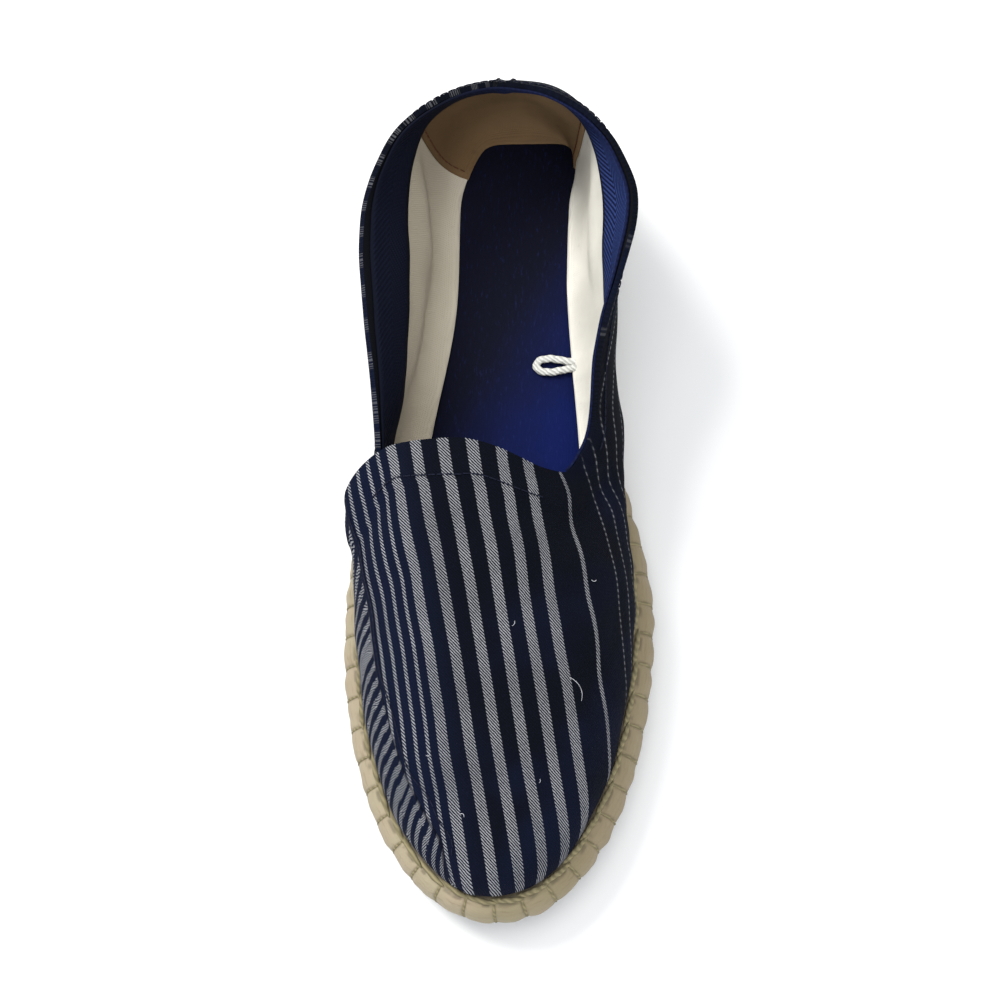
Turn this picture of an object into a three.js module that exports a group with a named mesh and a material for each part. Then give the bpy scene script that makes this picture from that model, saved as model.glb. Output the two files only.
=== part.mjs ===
// A flat slip-on espadrille for the right foot, standing empty on its sole.
// +Y points to the heel, -Y to the toe, +X to the inner side of the foot and +Z up, in millimetres.
// The striped canvas upper is one hollow shell, open at the collar and underneath, where the sole closes it.
// Its free throat tab leans to the outer side, as an empty shoe's does, and the collar stands open.
import * as THREE from "three";

// Sole
const soleLength = 254;
const ballWidth = 89;
const heelWidth = 63;
const ballShift = 1.2; // how far the ball bulges to the outer side of the shoe's line
const archDip = 5; // how far the waist is cut in on the inner side
const heelRound = 38; // length of the rounded heel end
const toeRound = 86; // length of the rounded toe end
const toeFullness = 2.08; // 2 makes the toe end a true ellipse, and more makes it blunter
const toeSpring = 4;
const springLength = 72; // the stretch behind the toe tip that lifts off the floor
const outsoleThickness = 3;
const outsoleInset = 2.6; // the rubber stops short of the wrapped edge
const outsoleChamfer = 1.2;
const midsoleHeelHeight = 17;
const midsoleToeHeight = 14;
const stitchCells = 64; // the blanket stitches pull the wrapped edge into this many pads
const stitchDip = 1.3; // how deep each stitch pulls into the edge
const edgeRounding = 4.4; // how far the wrapped edge turns in at its top

// Upper
const upperWall = 1.8;
const featherInset = 6; // from the sole's widest edge to the foot of the upper
const heelTopHeight = 70;
const heelTopSetback = 26; // the slack heel leans forward of the sole's back end by this much
const collarWidth = 78;
const tabHeight = 61;
const tabLean = 9; // the ridge of the tab stands this far to the outer side
const throatSetback = 130; // from the sole's back end to the middle of the tab's edge
const innerNotchHeight = 46;
const innerNotchDepth = 5.5; // from the middle of the tab's edge forward to the notch
const outerNotchHeight = 42.5;
const outerNotchDepth = 15; // deeper, because the tab's free corner hangs over the outer wall
const toeBoxHeight = 11.5; // from the sole's top to the front end of the vamp's ridge
const toeBoxLength = 15; // from the toe tip to the front end of the vamp's ridge
const wallSwell = 10; // how far the slack wall swells out, where a section's belly is 1
const cornerFlare = 3.4; // how far the tab's free corner stands out over the wall

// Inside
const insoleThickness = 2.6;
const insoleMargin = 0.5;
const insoleChamfer = 1.2;
const tapeWidth = 15;
const tapeThickness = 0.8;
const tapeEase = 0.25; // more room behind the tape, because the wall curves between its columns
const loopLength = 13;
const loopWidth = 5.6;
const loopCord = 1.7;
const loopSetback = 94; // from the sole's back end to the hanging loop

const gap = 0.3; // between pieces that touch

// How finely the surfaces are divided.
const pathSteps = 600;
const outsoleColumns = 120;
const insoleColumns = 96;
const quarterColumns = 28; // on each side, from the heel to the notch
const vampColumns = 24; // on each side, from the notch to the toe
const wallRows = 8; // from the foot to the collar or the notch
const tabRows = 8; // from the notch to the ridge
const tapeColumns = quarterColumns - 2; // the tape stops short of the notches
const tapeRows = 4;
const loopSteps = 36;
const loopSides = 8;

// Shares that shape the walls' curves.
const chamferShare = 0.3; // of a layer's thickness
const lowerLift = 0.38; // height of the point that shapes a wall's lower half, as a share of the wall's climb
const upperDrop = 0.33; // how far the point that shapes its upper half lies below the collar
const upperSwell = 0.6; // how much of the swell that upper point takes
const sidewaysFrom = 0.5; // where the walls' swell starts to turn straight to the side
const sidewaysTo = 0.8;
const vampSideways = 0.35; // where on the vamp it is square to the outline again
const throatJoin = 0.8; // where the wall starts to turn into the vamp's section
const tabReach = 0.2; // how far forward on the vamp the tab's edge still pulls it
const tabReachBelow = 0.6; // the same below the notch, as a share of the wall's climb
const toeFan = 0.85; // below 1 the vamp's columns fan out over the toes

const up = new THREE.Vector3(0, 0, 1);
const mix = THREE.MathUtils.lerp;
const smooth = (x, from, to) => THREE.MathUtils.smoothstep(x, from, to);

// The waist of the sole, from the rounded heel (along 0) to the ball (along 1).
// grow goes from the heel's half width to the ball's, and dip takes a share of archDip off it.
const innerWaist = [
  { along: 0, grow: 0, dip: 0 },
  { along: 0.19, grow: 0.02, dip: 0.12 },
  { along: 0.33, grow: 0.09, dip: 0.6 },
  { along: 0.49, grow: 0.23, dip: 1 },
  { along: 0.62, grow: 0.44, dip: 0.85 },
  { along: 0.76, grow: 0.7, dip: 0.45 },
  { along: 0.88, grow: 0.89, dip: 0.12 },
  { along: 1, grow: 1, dip: 0 },
];
const outerWaist = [
  { along: 0, grow: 0, dip: 0 },
  { along: 0.19, grow: 0.01, dip: 0 },
  { along: 0.33, grow: 0.08, dip: 0 },
  { along: 0.49, grow: 0.26, dip: 0 },
  { along: 0.62, grow: 0.5, dip: 0 },
  { along: 0.76, grow: 0.77, dip: 0 },
  { along: 0.88, grow: 0.93, dip: 0 },
  { along: 1, grow: 1, dip: 0 },
];

// The collar's edge, from the heel (back 1) to the notch beside the tab (back 0), where it meets the vamp.
// out is a share of half the collar's width, and rise a share of the way from the notch's height to the
// heel's.
const innerCollar = [
  { back: 1, out: -0.02, rise: 1 },
  { back: 0.976, out: 0.31, rise: 1 },
  { back: 0.92, out: 0.6, rise: 0.98 },
  { back: 0.866, out: 0.77, rise: 0.96 },
  { back: 0.81, out: 0.875, rise: 0.92 },
  { back: 0.71, out: 0.985, rise: 0.83 },
  { back: 0.645, out: 0.995, rise: 0.77 },
  { back: 0.555, out: 0.945, rise: 0.69 },
  { back: 0.395, out: 0.8, rise: 0.5 },
  { back: 0.3, out: 0.745, rise: 0.41 },
  { back: 0.135, out: 0.69, rise: 0.21 },
  { back: 0.075, out: 0.65, rise: 0.125 },
];
const outerCollar = [
  { back: 1, out: 0.02, rise: 1 },
  { back: 0.98, out: 0.31, rise: 1 },
  { back: 0.93, out: 0.585, rise: 0.98 },
  { back: 0.88, out: 0.755, rise: 0.965 },
  { back: 0.83, out: 0.845, rise: 0.93 },
  { back: 0.735, out: 0.96, rise: 0.855 },
  { back: 0.62, out: 1.01, rise: 0.745 },
  { back: 0.5, out: 0.985, rise: 0.635 },
  { back: 0.32, out: 0.92, rise: 0.455 },
  { back: 0.14, out: 0.867, rise: 0.235 },
  { back: 0.09, out: 0.88, rise: 0.16 },
  { back: 0.045, out: 0.925, rise: 0.07 },
];

// The section of the wall under the collar, from the heel (along 0) to the notch (along 1).
// belly is how far its lower part swells out, as a share of wallSwell, and tuck how much of the collar's
// flare is gone a third of the way down.
const innerWall = [
  { along: 0, belly: 0.2, tuck: 0.35 },
  { along: 0.3, belly: 0.05, tuck: 0.8 },
  { along: 0.5, belly: 0.3, tuck: 0.7 },
  { along: 0.7, belly: 1.2, tuck: 0.4 },
  { along: 1, belly: 1.4, tuck: 0.3 },
];
const outerWall = [
  { along: 0, belly: 0.2, tuck: 0.35 },
  { along: 0.25, belly: 0, tuck: 0.75 },
  { along: 0.5, belly: -0.05, tuck: 1 },
  { along: 0.85, belly: 0.1, tuck: 0.8 },
  { along: 1, belly: 0.6, tuck: 0.4 },
];

// The section of the vamp, from the throat (along 0) to the toe (along 1).
// belly is how far its wall swells out, as a share of wallSwell, lift the height of that swell as a share of
// the ridge's, and reach how flat it runs from the ridge, as a share of the way to its foot.
const innerVamp = [
  { along: 0, belly: 2, lift: 0.3, reach: 0.2 },
  { along: 0.12, belly: 1.1, lift: 0.38, reach: 0.36 },
  { along: 0.3, belly: 0.45, lift: 0.5, reach: 0.52 },
  { along: 0.6, belly: 0.2, lift: 0.56, reach: 0.6 },
  { along: 1, belly: 0.1, lift: 0.6, reach: 0.6 },
];
const outerVamp = [
  { along: 0, belly: 1.3, lift: 0.58, reach: 0.8 },
  { along: 0.12, belly: 0.75, lift: 0.56, reach: 0.72 },
  { along: 0.3, belly: 0.4, lift: 0.55, reach: 0.64 },
  { along: 0.6, belly: 0.2, lift: 0.56, reach: 0.6 },
  { along: 1, belly: 0.1, lift: 0.6, reach: 0.6 },
];

// The ridge of the vamp, from the tab (along 0) to its front end over the toes (along 1).
// fall goes from the tab's height to the toe box's, and lean is the share of the tab's sideways lean.
const vampRidge = [
  { along: 0, fall: 0, lean: 1 },
  { along: 0.16, fall: 0.06, lean: 0.86 },
  { along: 0.36, fall: 0.25, lean: 0.6 },
  { along: 0.56, fall: 0.48, lean: 0.34 },
  { along: 0.76, fall: 0.72, lean: 0.12 },
  { along: 0.9, fall: 0.88, lean: 0.03 },
  { along: 1, fall: 1, lean: 0 },
];

// The tab's edge, from a notch (climb 0) to the ridge (climb 1). back is the share of the notch's depth
// gained, and flare the share of cornerFlare that pushes the tab out over the wall.
const innerTab = [
  { climb: 0, back: 0, flare: 0 },
  { climb: 0.18, back: 0.02, flare: 0 },
  { climb: 0.4, back: 0.4, flare: 0 },
  { climb: 0.62, back: 0.8, flare: 0 },
  { climb: 1, back: 1, flare: 0 },
];
const outerTab = [
  { climb: 0, back: 0, flare: 0.7 },
  { climb: 0.1, back: 0.22, flare: 1 },
  { climb: 0.22, back: 0.52, flare: 0.9 },
  { climb: 0.36, back: 0.8, flare: 0.55 },
  { climb: 0.52, back: 0.97, flare: 0.2 },
  { climb: 1, back: 1, flare: 0 },
];

// The section of the wrapped sole edge, from its foot (height 0) to its top (height 1). inset is a share of
// edgeRounding, and pulled the share of stitchDip that a stitch pulls in there.
const edgeSection = [
  { height: 0, inset: 0.72, pulled: 0.2 },
  { height: 0.14, inset: 0.25, pulled: 0.7 },
  { height: 0.34, inset: 0.05, pulled: 1 },
  { height: 0.58, inset: 0, pulled: 1 },
  { height: 0.8, inset: 0.18, pulled: 1 },
  { height: 0.95, inset: 0.55, pulled: 0.8 },
  { height: 1, inset: 1, pulled: 0.2 },
];
const cellPhases = [0, 0.14, 0.5, 0.86]; // where the columns of a pad stand, between one stitch and the next

// A smooth value from a table's column, with no overshoot. flat ends start and stop level.
function tableValue(rows, key, column, x, flatEnds = false) {
  const last = rows.length - 1;
  if (x <= rows[0][key]) return rows[0][column];
  if (x >= rows[last][key]) return rows[last][column];
  const i = rows.findIndex((row) => row[key] > x) - 1;
  const step = (k) => rows[k + 1][key] - rows[k][key];
  const slope = (k) => (rows[k + 1][column] - rows[k][column]) / step(k);
  const tangent = (k) => {
    if (k === 0) return flatEnds ? 0 : slope(0);
    if (k === last) return flatEnds ? 0 : slope(last - 1);
    const [before, after] = [slope(k - 1), slope(k)];
    return before * after <= 0 ? 0 : (2 * before * after) / (before + after);
  };
  const h = step(i);
  const t = (x - rows[i][key]) / h;
  const [a, b] = [rows[i][column], rows[i + 1][column]];
  const rest = 1 - t;
  return a * rest * rest * (1 + 2 * t) + b * t * t * (3 - 2 * t)
    + h * t * rest * (rest * tangent(i) - t * tangent(i + 1));
}

// Heights of the sole's layers, which follow the shoe's length only.
const heelEndY = soleLength / 2;
const toeEndY = -soleLength / 2;
const fromHeel = (y) => (heelEndY - y) / soleLength;
const springAt = (y) => toeSpring * Math.max(0, (toeEndY + springLength - y) / springLength) ** 2;
const outsoleTop = (y) => springAt(y) + outsoleThickness;
const midsoleBottom = (y) => outsoleTop(y) + gap;
const midsoleHeight = (y) => mix(midsoleHeelHeight, midsoleToeHeight, smooth(fromHeel(y), 0.15, 0.9));
const midsoleTop = (y) => midsoleBottom(y) + midsoleHeight(y);

// Half the sole's width on one side (1 inner, -1 outer), at a distance from its back end.
function halfWidth(side, distance) {
  const ballHalf = ballWidth / 2 - side * ballShift;
  const heelHalf = heelWidth / 2;
  const ballStart = soleLength - toeRound;
  if (distance < heelRound) {
    return heelHalf * Math.sqrt(Math.max(0, 1 - (1 - distance / heelRound) ** 2));
  }
  if (distance > ballStart) {
    const along = Math.min(1, (distance - ballStart) / toeRound);
    return ballHalf * (1 - along ** toeFullness) ** (1 / toeFullness);
  }
  const waist = side > 0 ? innerWaist : outerWaist;
  const along = (distance - heelRound) / (ballStart - heelRound);
  const grow = tableValue(waist, "along", "grow", along, true);
  const dip = tableValue(waist, "along", "dip", along, true);
  return mix(heelHalf, ballHalf, grow) - archDip * dip;
}

// Reads a path of many points at a share of its length.
function measuredPath(points) {
  const lengths = [0];
  for (let i = 1; i < points.length; i++) {
    lengths.push(lengths[i - 1] + points[i].distanceTo(points[i - 1]));
  }
  const total = lengths[lengths.length - 1];
  return (share) => {
    const wanted = THREE.MathUtils.clamp(share, 0, 1) * total;
    let i = 1;
    while (i < lengths.length - 1 && lengths[i] < wanted) i++;
    const part = (wanted - lengths[i - 1]) / (lengths[i] - lengths[i - 1]);
    return points[i - 1].clone().lerp(points[i], part);
  };
}

// The sole's outline on one side, from the back of the heel to the tip of the toe.
function solePath(side) {
  const points = [];
  for (let i = 0; i <= pathSteps; i++) {
    const distance = (soleLength * (1 - Math.cos((Math.PI * i) / pathSteps))) / 2;
    points.push(new THREE.Vector3(side * halfWidth(side, distance), heelEndY - distance, 0));
  }
  return measuredPath(points);
}
const solePaths = { 1: solePath(1), "-1": solePath(-1) };

// around runs from -1 through 0 at the heel to 1, inner side positive, and both ends are the toe tip.
function outlineAt(around) {
  const wrapped = around > 1 ? around - 2 : around < -1 ? around + 2 : around;
  return solePaths[wrapped < 0 ? -1 : 1](Math.abs(wrapped));
}
function outlineNormal(around) {
  const reach = 0.004;
  const along = outlineAt(around + reach).sub(outlineAt(around - reach));
  return new THREE.Vector3(-along.y, along.x, 0).normalize();
}
const insetOutline = (around, inset) => outlineAt(around).addScaledVector(outlineNormal(around), -inset);

// A closed ring of points round the sole, starting at the heel. insetAt and heightAt are functions.
function outlineRing(shares, insetAt, heightAt) {
  return shares.map((share) => {
    const point = insetOutline(share, insetAt(share));
    return point.setZ(heightAt(point.y));
  });
}
const evenShares = (count) => Array.from({ length: count }, (_, i) => (2 * i) / count);

function geometryOf(points, triangles) {
  const geometry = new THREE.BufferGeometry();
  const numbers = points.flatMap((p) => [p.x, p.y, p.z]);
  geometry.setAttribute("position", new THREE.Float32BufferAttribute(numbers, 3));
  geometry.setIndex(triangles.flat());
  geometry.computeVertexNormals();
  return geometry;
}

// A solid through a stack of rings, lowest first, closed below and above by ladders across the shoe.
function ringSolid(rings) {
  const count = rings[0].length;
  const points = rings.flat();
  const triangles = [];
  for (let r = 0; r < rings.length - 1; r++) {
    for (let i = 0; i < count; i++) {
      const [a, b] = [r * count + i, r * count + ((i + 1) % count)];
      triangles.push([a, b + count, b], [a, a + count, b + count]);
    }
  }
  const ladder = (base, faceUp) => {
    for (let i = 0; i < count / 2; i++) {
      const [a, b] = [base + i, base + i + 1];
      const [c, d] = [base + ((count - i) % count), base + count - i - 1];
      const rungs = [[a, b, d], [a, d, c]].filter(([p, q, r]) => p !== q && q !== r && p !== r);
      triangles.push(...(faceUp ? rungs.map(([p, q, r]) => [p, r, q]) : rungs));
    }
  };
  ladder(0, false);
  ladder((rings.length - 1) * count, true);
  return geometryOf(points, triangles);
}

// A flat layer between two heights, with its lower or upper edge chamfered.
function layer(columns, inset, chamfer, bottomAt, topAt, chamferBelow) {
  const shares = evenShares(columns);
  const ring = (extra, rise) =>
    outlineRing(shares, () => inset + extra, (y) => mix(bottomAt(y), topAt(y), rise));
  return ringSolid(chamferBelow
    ? [ring(chamfer, 0), ring(0, chamferShare), ring(0, 1)]
    : [ring(0, 0), ring(0, 1 - chamferShare), ring(chamfer, 1)]);
}

function outsole() {
  return layer(outsoleColumns, outsoleInset, outsoleChamfer, springAt, outsoleTop, true);
}

// The wrapped edge swells between the blanket stitches and is pulled in at each of them.
function midsole() {
  const shares = evenShares(stitchCells).flatMap((start) =>
    cellPhases.map((phase) => start + (2 * phase) / stitchCells));
  const pull = (share) => {
    const phase = ((share * stitchCells) / 2) % 1;
    return stitchDip * Math.max(0, 1 - Math.min(phase, 1 - phase) / cellPhases[1]);
  };
  return ringSolid(edgeSection.map((row) => outlineRing(
    shares,
    (share) => row.inset * edgeRounding + row.pulled * pull(share),
    (y) => midsoleBottom(y) + row.height * midsoleHeight(y))));
}

const insoleBottom = (y) => midsoleTop(y) + gap;
const insoleTop = (y) => insoleBottom(y) + insoleThickness;
function insole() {
  const inset = featherInset + upperWall + insoleMargin;
  return layer(insoleColumns, inset, insoleChamfer, insoleBottom, insoleTop, false);
}

// The upper is read as columns that climb from its foot. around says where a column stands round the sole.
const footAt = (around) => {
  const foot = insetOutline(around, featherInset);
  return foot.setZ(midsoleTop(foot.y) + gap);
};

// What differs between the inner (1) and the outer (-1) side.
const sides = {
  1: { collar: innerCollar, wall: innerWall, vamp: innerVamp, tab: innerTab },
  "-1": { collar: outerCollar, wall: outerWall, vamp: outerVamp, tab: outerTab },
};
const throatY = heelEndY - throatSetback;
const heelTopY = heelEndY - heelTopSetback;
const notchY = { 1: throatY - innerNotchDepth, "-1": throatY - outerNotchDepth };
const notchZ = { 1: innerNotchHeight, "-1": outerNotchHeight };

// The share at which a test first holds.
function firstShare(test) {
  let [low, high] = [0, 1];
  for (let i = 0; i < 40; i++) {
    const middle = (low + high) / 2;
    if (test(middle)) high = middle;
    else low = middle;
  }
  return high;
}

// The way the wall swells: square to the outline, turned straight to the side by a share.
const swellWay = (side, around, turned) =>
  outlineNormal(around).lerp(new THREE.Vector3(side, 0, 0), turned).normalize();

// Where the foot of the wall passes a place along the shoe.
const aroundAtY = (side, y) => firstShare((around) => footAt(side * around).y < y);
const throatAround = { 1: aroundAtY(1, notchY[1]), "-1": aroundAtY(-1, notchY[-1]) };

const ridgeEndY = toeEndY + toeBoxLength;
const ridgeEndHeight = midsoleTop(ridgeEndY) + toeBoxHeight;
function ridgePoint(along) {
  const fall = tableValue(vampRidge, "along", "fall", along);
  const lean = tableValue(vampRidge, "along", "lean", along);
  const height = mix(tabHeight, ridgeEndHeight, fall);
  return new THREE.Vector3(-tabLean * lean, mix(throatY, ridgeEndY, along), height);
}
function ridgeSlope(along) {
  const [behind, ahead] = [ridgePoint(Math.max(0, along - 0.02)), ridgePoint(Math.min(1, along + 0.02))];
  return (ahead.z - behind.z) / (ahead.y - behind.y);
}

// A column is a cubic curve of four points: foot, two that shape the wall, and its top.
const bezier = ([a, b, c, d], t) => {
  const rest = 1 - t;
  return new THREE.Vector3()
    .addScaledVector(a, rest ** 3).addScaledVector(b, 3 * rest * rest * t)
    .addScaledVector(c, 3 * rest * t * t).addScaledVector(d, t ** 3);
};
// The lower stretch of such a curve, up to t, as a curve of its own.
function lowerPart([a, b, c, d], t) {
  const [ab, bc, cd] = [a.clone().lerp(b, t), b.clone().lerp(c, t), c.clone().lerp(d, t)];
  const [abc, bcd] = [ab.clone().lerp(bc, t), bc.clone().lerp(cd, t)];
  return [a, ab, abc, abc.clone().lerp(bcd, t)];
}

function vampColumn(side, toToe) {
  const around = side * mix(throatAround[side], 1, toToe);
  const foot = footAt(around);
  const along = toToe ** toeFan;
  const ridge = ridgePoint(along);
  const section = (column) => tableValue(sides[side].vamp, "along", column, toToe);
  const toFoot = foot.clone().sub(ridge).setZ(0);
  const fall = new THREE.Vector3(0, 0, ridgeSlope(along) * toFoot.y);
  const outward = swellWay(side, around, 1 - smooth(toToe, 0, vampSideways));
  return [
    foot,
    foot.clone().addScaledVector(up, (ridge.z - foot.z) * section("lift"))
      .addScaledVector(outward, section("belly") * wallSwell),
    ridge.clone().addScaledVector(toFoot.add(fall), section("reach")),
    ridge,
  ];
}

// Where the notch cuts the throat's column, as a share of that column, and the lower stretch that is left.
const notchOf = (side) => {
  const column = vampColumn(side, 0);
  const share = firstShare((t) => bezier(column, t).z > notchZ[side]);
  const point = bezier(column, share).setY(notchY[side]);
  point.x += side * cornerFlare * sides[side].tab[0].flare;
  return { share, column: lowerPart(column, share), point };
};
const notches = { 1: notchOf(1), "-1": notchOf(-1) };

// The collar's edge on one side, from the middle of the heel to the notch.
function collarPath(side) {
  const curve = new THREE.CatmullRomCurve3([
    ...sides[side].collar.map((row) => new THREE.Vector3(
      (side * row.out * collarWidth) / 2,
      mix(notchY[side], heelTopY, row.back),
      mix(notchZ[side], heelTopHeight, row.rise))),
    notches[side].point,
  ], false, "centripetal");
  return measuredPath(curve.getPoints(pathSteps));
}
const collarPaths = { 1: collarPath(1), "-1": collarPath(-1) };

function quarterColumn(side, toThroat) {
  const around = side * throatAround[side] * toThroat;
  const foot = footAt(around);
  const outward = swellWay(side, around, smooth(toThroat, sidewaysFrom, sidewaysTo));
  const top = collarPaths[side](toThroat);
  const climb = top.z - foot.z;
  const section = (column) => tableValue(sides[side].wall, "along", column, toThroat);
  const toFoot = foot.clone().sub(top).setZ(0);
  const swell = section("belly") * wallSwell;
  const lower = foot.clone().addScaledVector(up, climb * lowerLift).addScaledVector(outward, swell);
  const upperPoint = top.clone().addScaledVector(toFoot, section("tuck"))
    .addScaledVector(outward, swell * upperSwell).addScaledVector(up, -climb * upperDrop);
  // Towards the notch the column turns into the lower stretch of the vamp's.
  const [throatFoot, throatLower, throatUpper, throatTop] = notches[side].column;
  const join = smooth(toThroat, throatJoin, 1);
  return [
    foot,
    lower.lerp(throatLower.clone().sub(throatFoot).add(foot), join),
    upperPoint.lerp(throatUpper.clone().sub(throatTop).add(top), join),
    top,
  ];
}

// How a point of the vamp above the notch moves so that the throat's column follows the tab's edge.
// The move dies out forwards, and vampPoint lets it die out below the notch.
function tabMove(side, toToe, t) {
  const climb = (t - notches[side].share) / (1 - notches[side].share);
  const near = 1 - smooth(toToe, 0, tabReach);
  if (climb < 0 || near <= 0) return new THREE.Vector3();
  const edge = (column) => tableValue(sides[side].tab, "climb", column, climb);
  const throat = bezier(vampColumn(side, 0), t);
  const edgeY = mix(notchY[side], throatY, edge("back"));
  return new THREE.Vector3(side * cornerFlare * edge("flare"), edgeY - throat.y, 0).multiplyScalar(near);
}

function vampPoint(side, toToe, row) {
  const notch = notches[side].share;
  const t = row <= wallRows ? (notch * row) / wallRows : mix(notch, 1, (row - wallRows) / tabRows);
  const share = smooth(row / wallRows, tabReachBelow, 1);
  const move = tabMove(side, toToe, Math.max(t, notch));
  return bezier(vampColumn(side, toToe), t).addScaledVector(move, share);
}
function sheetPoint(side, column, row) {
  return column < quarterColumns
    ? bezier(quarterColumn(side, column / quarterColumns), row / wallRows)
    : vampPoint(side, (column - quarterColumns) / vampColumns, row);
}

// The outer face of the upper as one sheet: both walls from the heel to the throat, then the vamp to the toe.
// Walls share the heel's column, and the two halves of the vamp share the ridge and the toe's column.
function upperSheet() {
  const points = [];
  const faces = [];
  const feet = new Set();
  const index = new Map();
  const lastColumn = quarterColumns + vampColumns;
  const at = (side, column, row) => {
    const shared = column === 0 || column === lastColumn || row === wallRows + tabRows;
    const key = `${shared ? 0 : side} ${column} ${row}`;
    if (!index.has(key)) {
      index.set(key, points.length);
      points.push(sheetPoint(side, column, row));
    }
    if (row === 0) feet.add(index.get(key));
    return index.get(key);
  };
  for (const side of [1, -1]) {
    for (let column = 0; column < lastColumn; column++) {
      const rows = column < quarterColumns ? wallRows : wallRows + tabRows;
      for (let row = 0; row < rows; row++) {
        const [a, b] = [at(side, column, row), at(side, column + 1, row)];
        const [c, d] = [at(side, column + 1, row + 1), at(side, column, row + 1)];
        faces.push(side > 0 ? [a, d, c, b] : [a, b, c, d]);
      }
    }
  }
  return { points, faces, feet };
}

// A closed solid between two parallel copies of a sheet of four-sided faces, at an outer and an inner
// distance from it. Points in feet are moved level only.
function sheetSolid({ points, faces, feet = new Set() }, outer, inner) {
  const halves = faces.flatMap(([a, b, c, d]) => [[a, b, c], [a, c, d]])
    .filter(([a, b, c]) => a !== b && b !== c && a !== c);
  const normals = points.map(() => new THREE.Vector3());
  for (const [a, b, c] of halves) {
    const normal = points[b].clone().sub(points[a]).cross(points[c].clone().sub(points[a]));
    for (const i of [a, b, c]) normals[i].add(normal);
  }
  normals.forEach((normal, i) => (feet.has(i) ? normal.setZ(0) : normal).normalize());
  const shifted = (distance) => points.map((p, i) => p.clone().addScaledVector(normals[i], distance));
  const count = points.length;
  const triangles = [...halves, ...halves.map(([a, b, c]) => [a + count, c + count, b + count])];
  const edges = new Set(halves.flatMap(([a, b, c]) => [`${a} ${b}`, `${b} ${c}`, `${c} ${a}`]));
  for (const edge of edges) {
    const [a, b] = edge.split(" ").map(Number);
    if (!edges.has(`${b} ${a}`)) triangles.push([b, a, a + count], [b, a + count, b + count]);
  }
  return geometryOf([...shifted(outer), ...shifted(inner)], triangles);
}

function upper() {
  return sheetSolid(upperSheet(), 0, -upperWall);
}

// The twill tape that faces the collar inside, from one notch round the heel to the other.
function collarTape() {
  const points = [];
  const faces = [];
  for (let column = tapeColumns; column >= -tapeColumns; column--) {
    const curve = quarterColumn(column < 0 ? -1 : 1, Math.abs(column) / quarterColumns);
    const height = curve[3].distanceTo(curve[0]);
    for (let row = 0; row <= tapeRows; row++) {
      points.push(bezier(curve, 1 - (gap + (tapeWidth * row) / tapeRows) / height));
    }
  }
  const at = (column, row) => column * (tapeRows + 1) + row;
  for (let column = 0; column < 2 * tapeColumns; column++) {
    for (let row = 0; row < tapeRows; row++) {
      faces.push([at(column, row), at(column, row + 1), at(column + 1, row + 1), at(column + 1, row)]);
    }
  }
  const back = upperWall + gap + tapeEase;
  return sheetSolid({ points, faces }, -back, -back - tapeThickness);
}

// The hanging loop: a cord sewn in at the foot of the inner wall, lying doubled on the insole.
// Its route runs from the wall (out 0) to the end of the loop (out 1). across is a share of half its width.
const loopRoute = [
  { out: 0, across: 0.35 },
  { out: 0.35, across: 0.7 },
  { out: 0.7, across: 1 },
  { out: 0.92, across: 0.7 },
  { out: 1, across: 0 },
  { out: 0.92, across: -0.7 },
  { out: 0.7, across: -1 },
  { out: 0.35, across: -0.75 },
  { out: 0, across: -0.35 },
];
function hangingLoop() {
  const y = heelEndY - loopSetback;
  const radius = loopCord / 2;
  const root = footAt(aroundAtY(1, y)).x - upperWall - gap - radius;
  const route = new THREE.CatmullRomCurve3(loopRoute.map((row) => new THREE.Vector3(
    root - row.out * (loopLength - loopCord),
    y + row.across * (loopWidth / 2 - radius),
    insoleTop(y) + gap + radius)), true);
  const points = [];
  const triangles = [];
  for (let i = 0; i < loopSteps; i++) {
    const centre = route.getPoint(i / loopSteps);
    const across = new THREE.Vector3().crossVectors(up, route.getTangent(i / loopSteps)).normalize();
    const next = ((i + 1) % loopSteps) * loopSides;
    for (let k = 0; k < loopSides; k++) {
      const angle = (2 * Math.PI * k) / loopSides;
      points.push(centre.clone()
        .addScaledVector(across, Math.cos(angle) * radius)
        .addScaledVector(up, Math.sin(angle) * radius));
      const beside = (k + 1) % loopSides;
      const [a, b] = [i * loopSides + k, i * loopSides + beside];
      triangles.push([a, b, next + beside], [a, next + beside, next + k]);
    }
  }
  return geometryOf(points, triangles);
}

function piece(name, geometry, color, roughness) {
  const mesh = new THREE.Mesh(geometry, new THREE.MeshStandardMaterial({ color, roughness, metalness: 0 }));
  mesh.name = name;
  return mesh;
}

const espadrille = new THREE.Group();
espadrille.add(
  piece("outsole", outsole(), 0x1c1b1d, 0.8),
  piece("midsole", midsole(), 0xb3a587, 0.85),
  piece("insole", insole(), 0x10164a, 0.8),
  piece("upper", upper(), 0x1b2238, 0.9),
  piece("collar_tape", collarTape(), 0x16245c, 0.8),
  piece("hanging_loop", hangingLoop(), 0xd8d8d2, 0.7),
);

// The origin lies on the floor, under the middle of the shoe.
const bounds = new THREE.Box3().setFromObject(espadrille);
const middle = bounds.getCenter(new THREE.Vector3());
espadrille.position.set(-middle.x, -middle.y, -bounds.min.z);

export default espadrille;
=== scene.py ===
"""Dresses the packed espadrille: striped canvas, lining, twill tape, sock, wrapped edge and stitches."""

import math

import bmesh
import bpy
import numpy as np
from bpy.props import FloatProperty, FloatVectorProperty, IntProperty, PointerProperty
from mathutils import Matrix, Vector, noise
from mathutils.bvhtree import BVHTree
from mathutils.kdtree import KDTree


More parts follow.
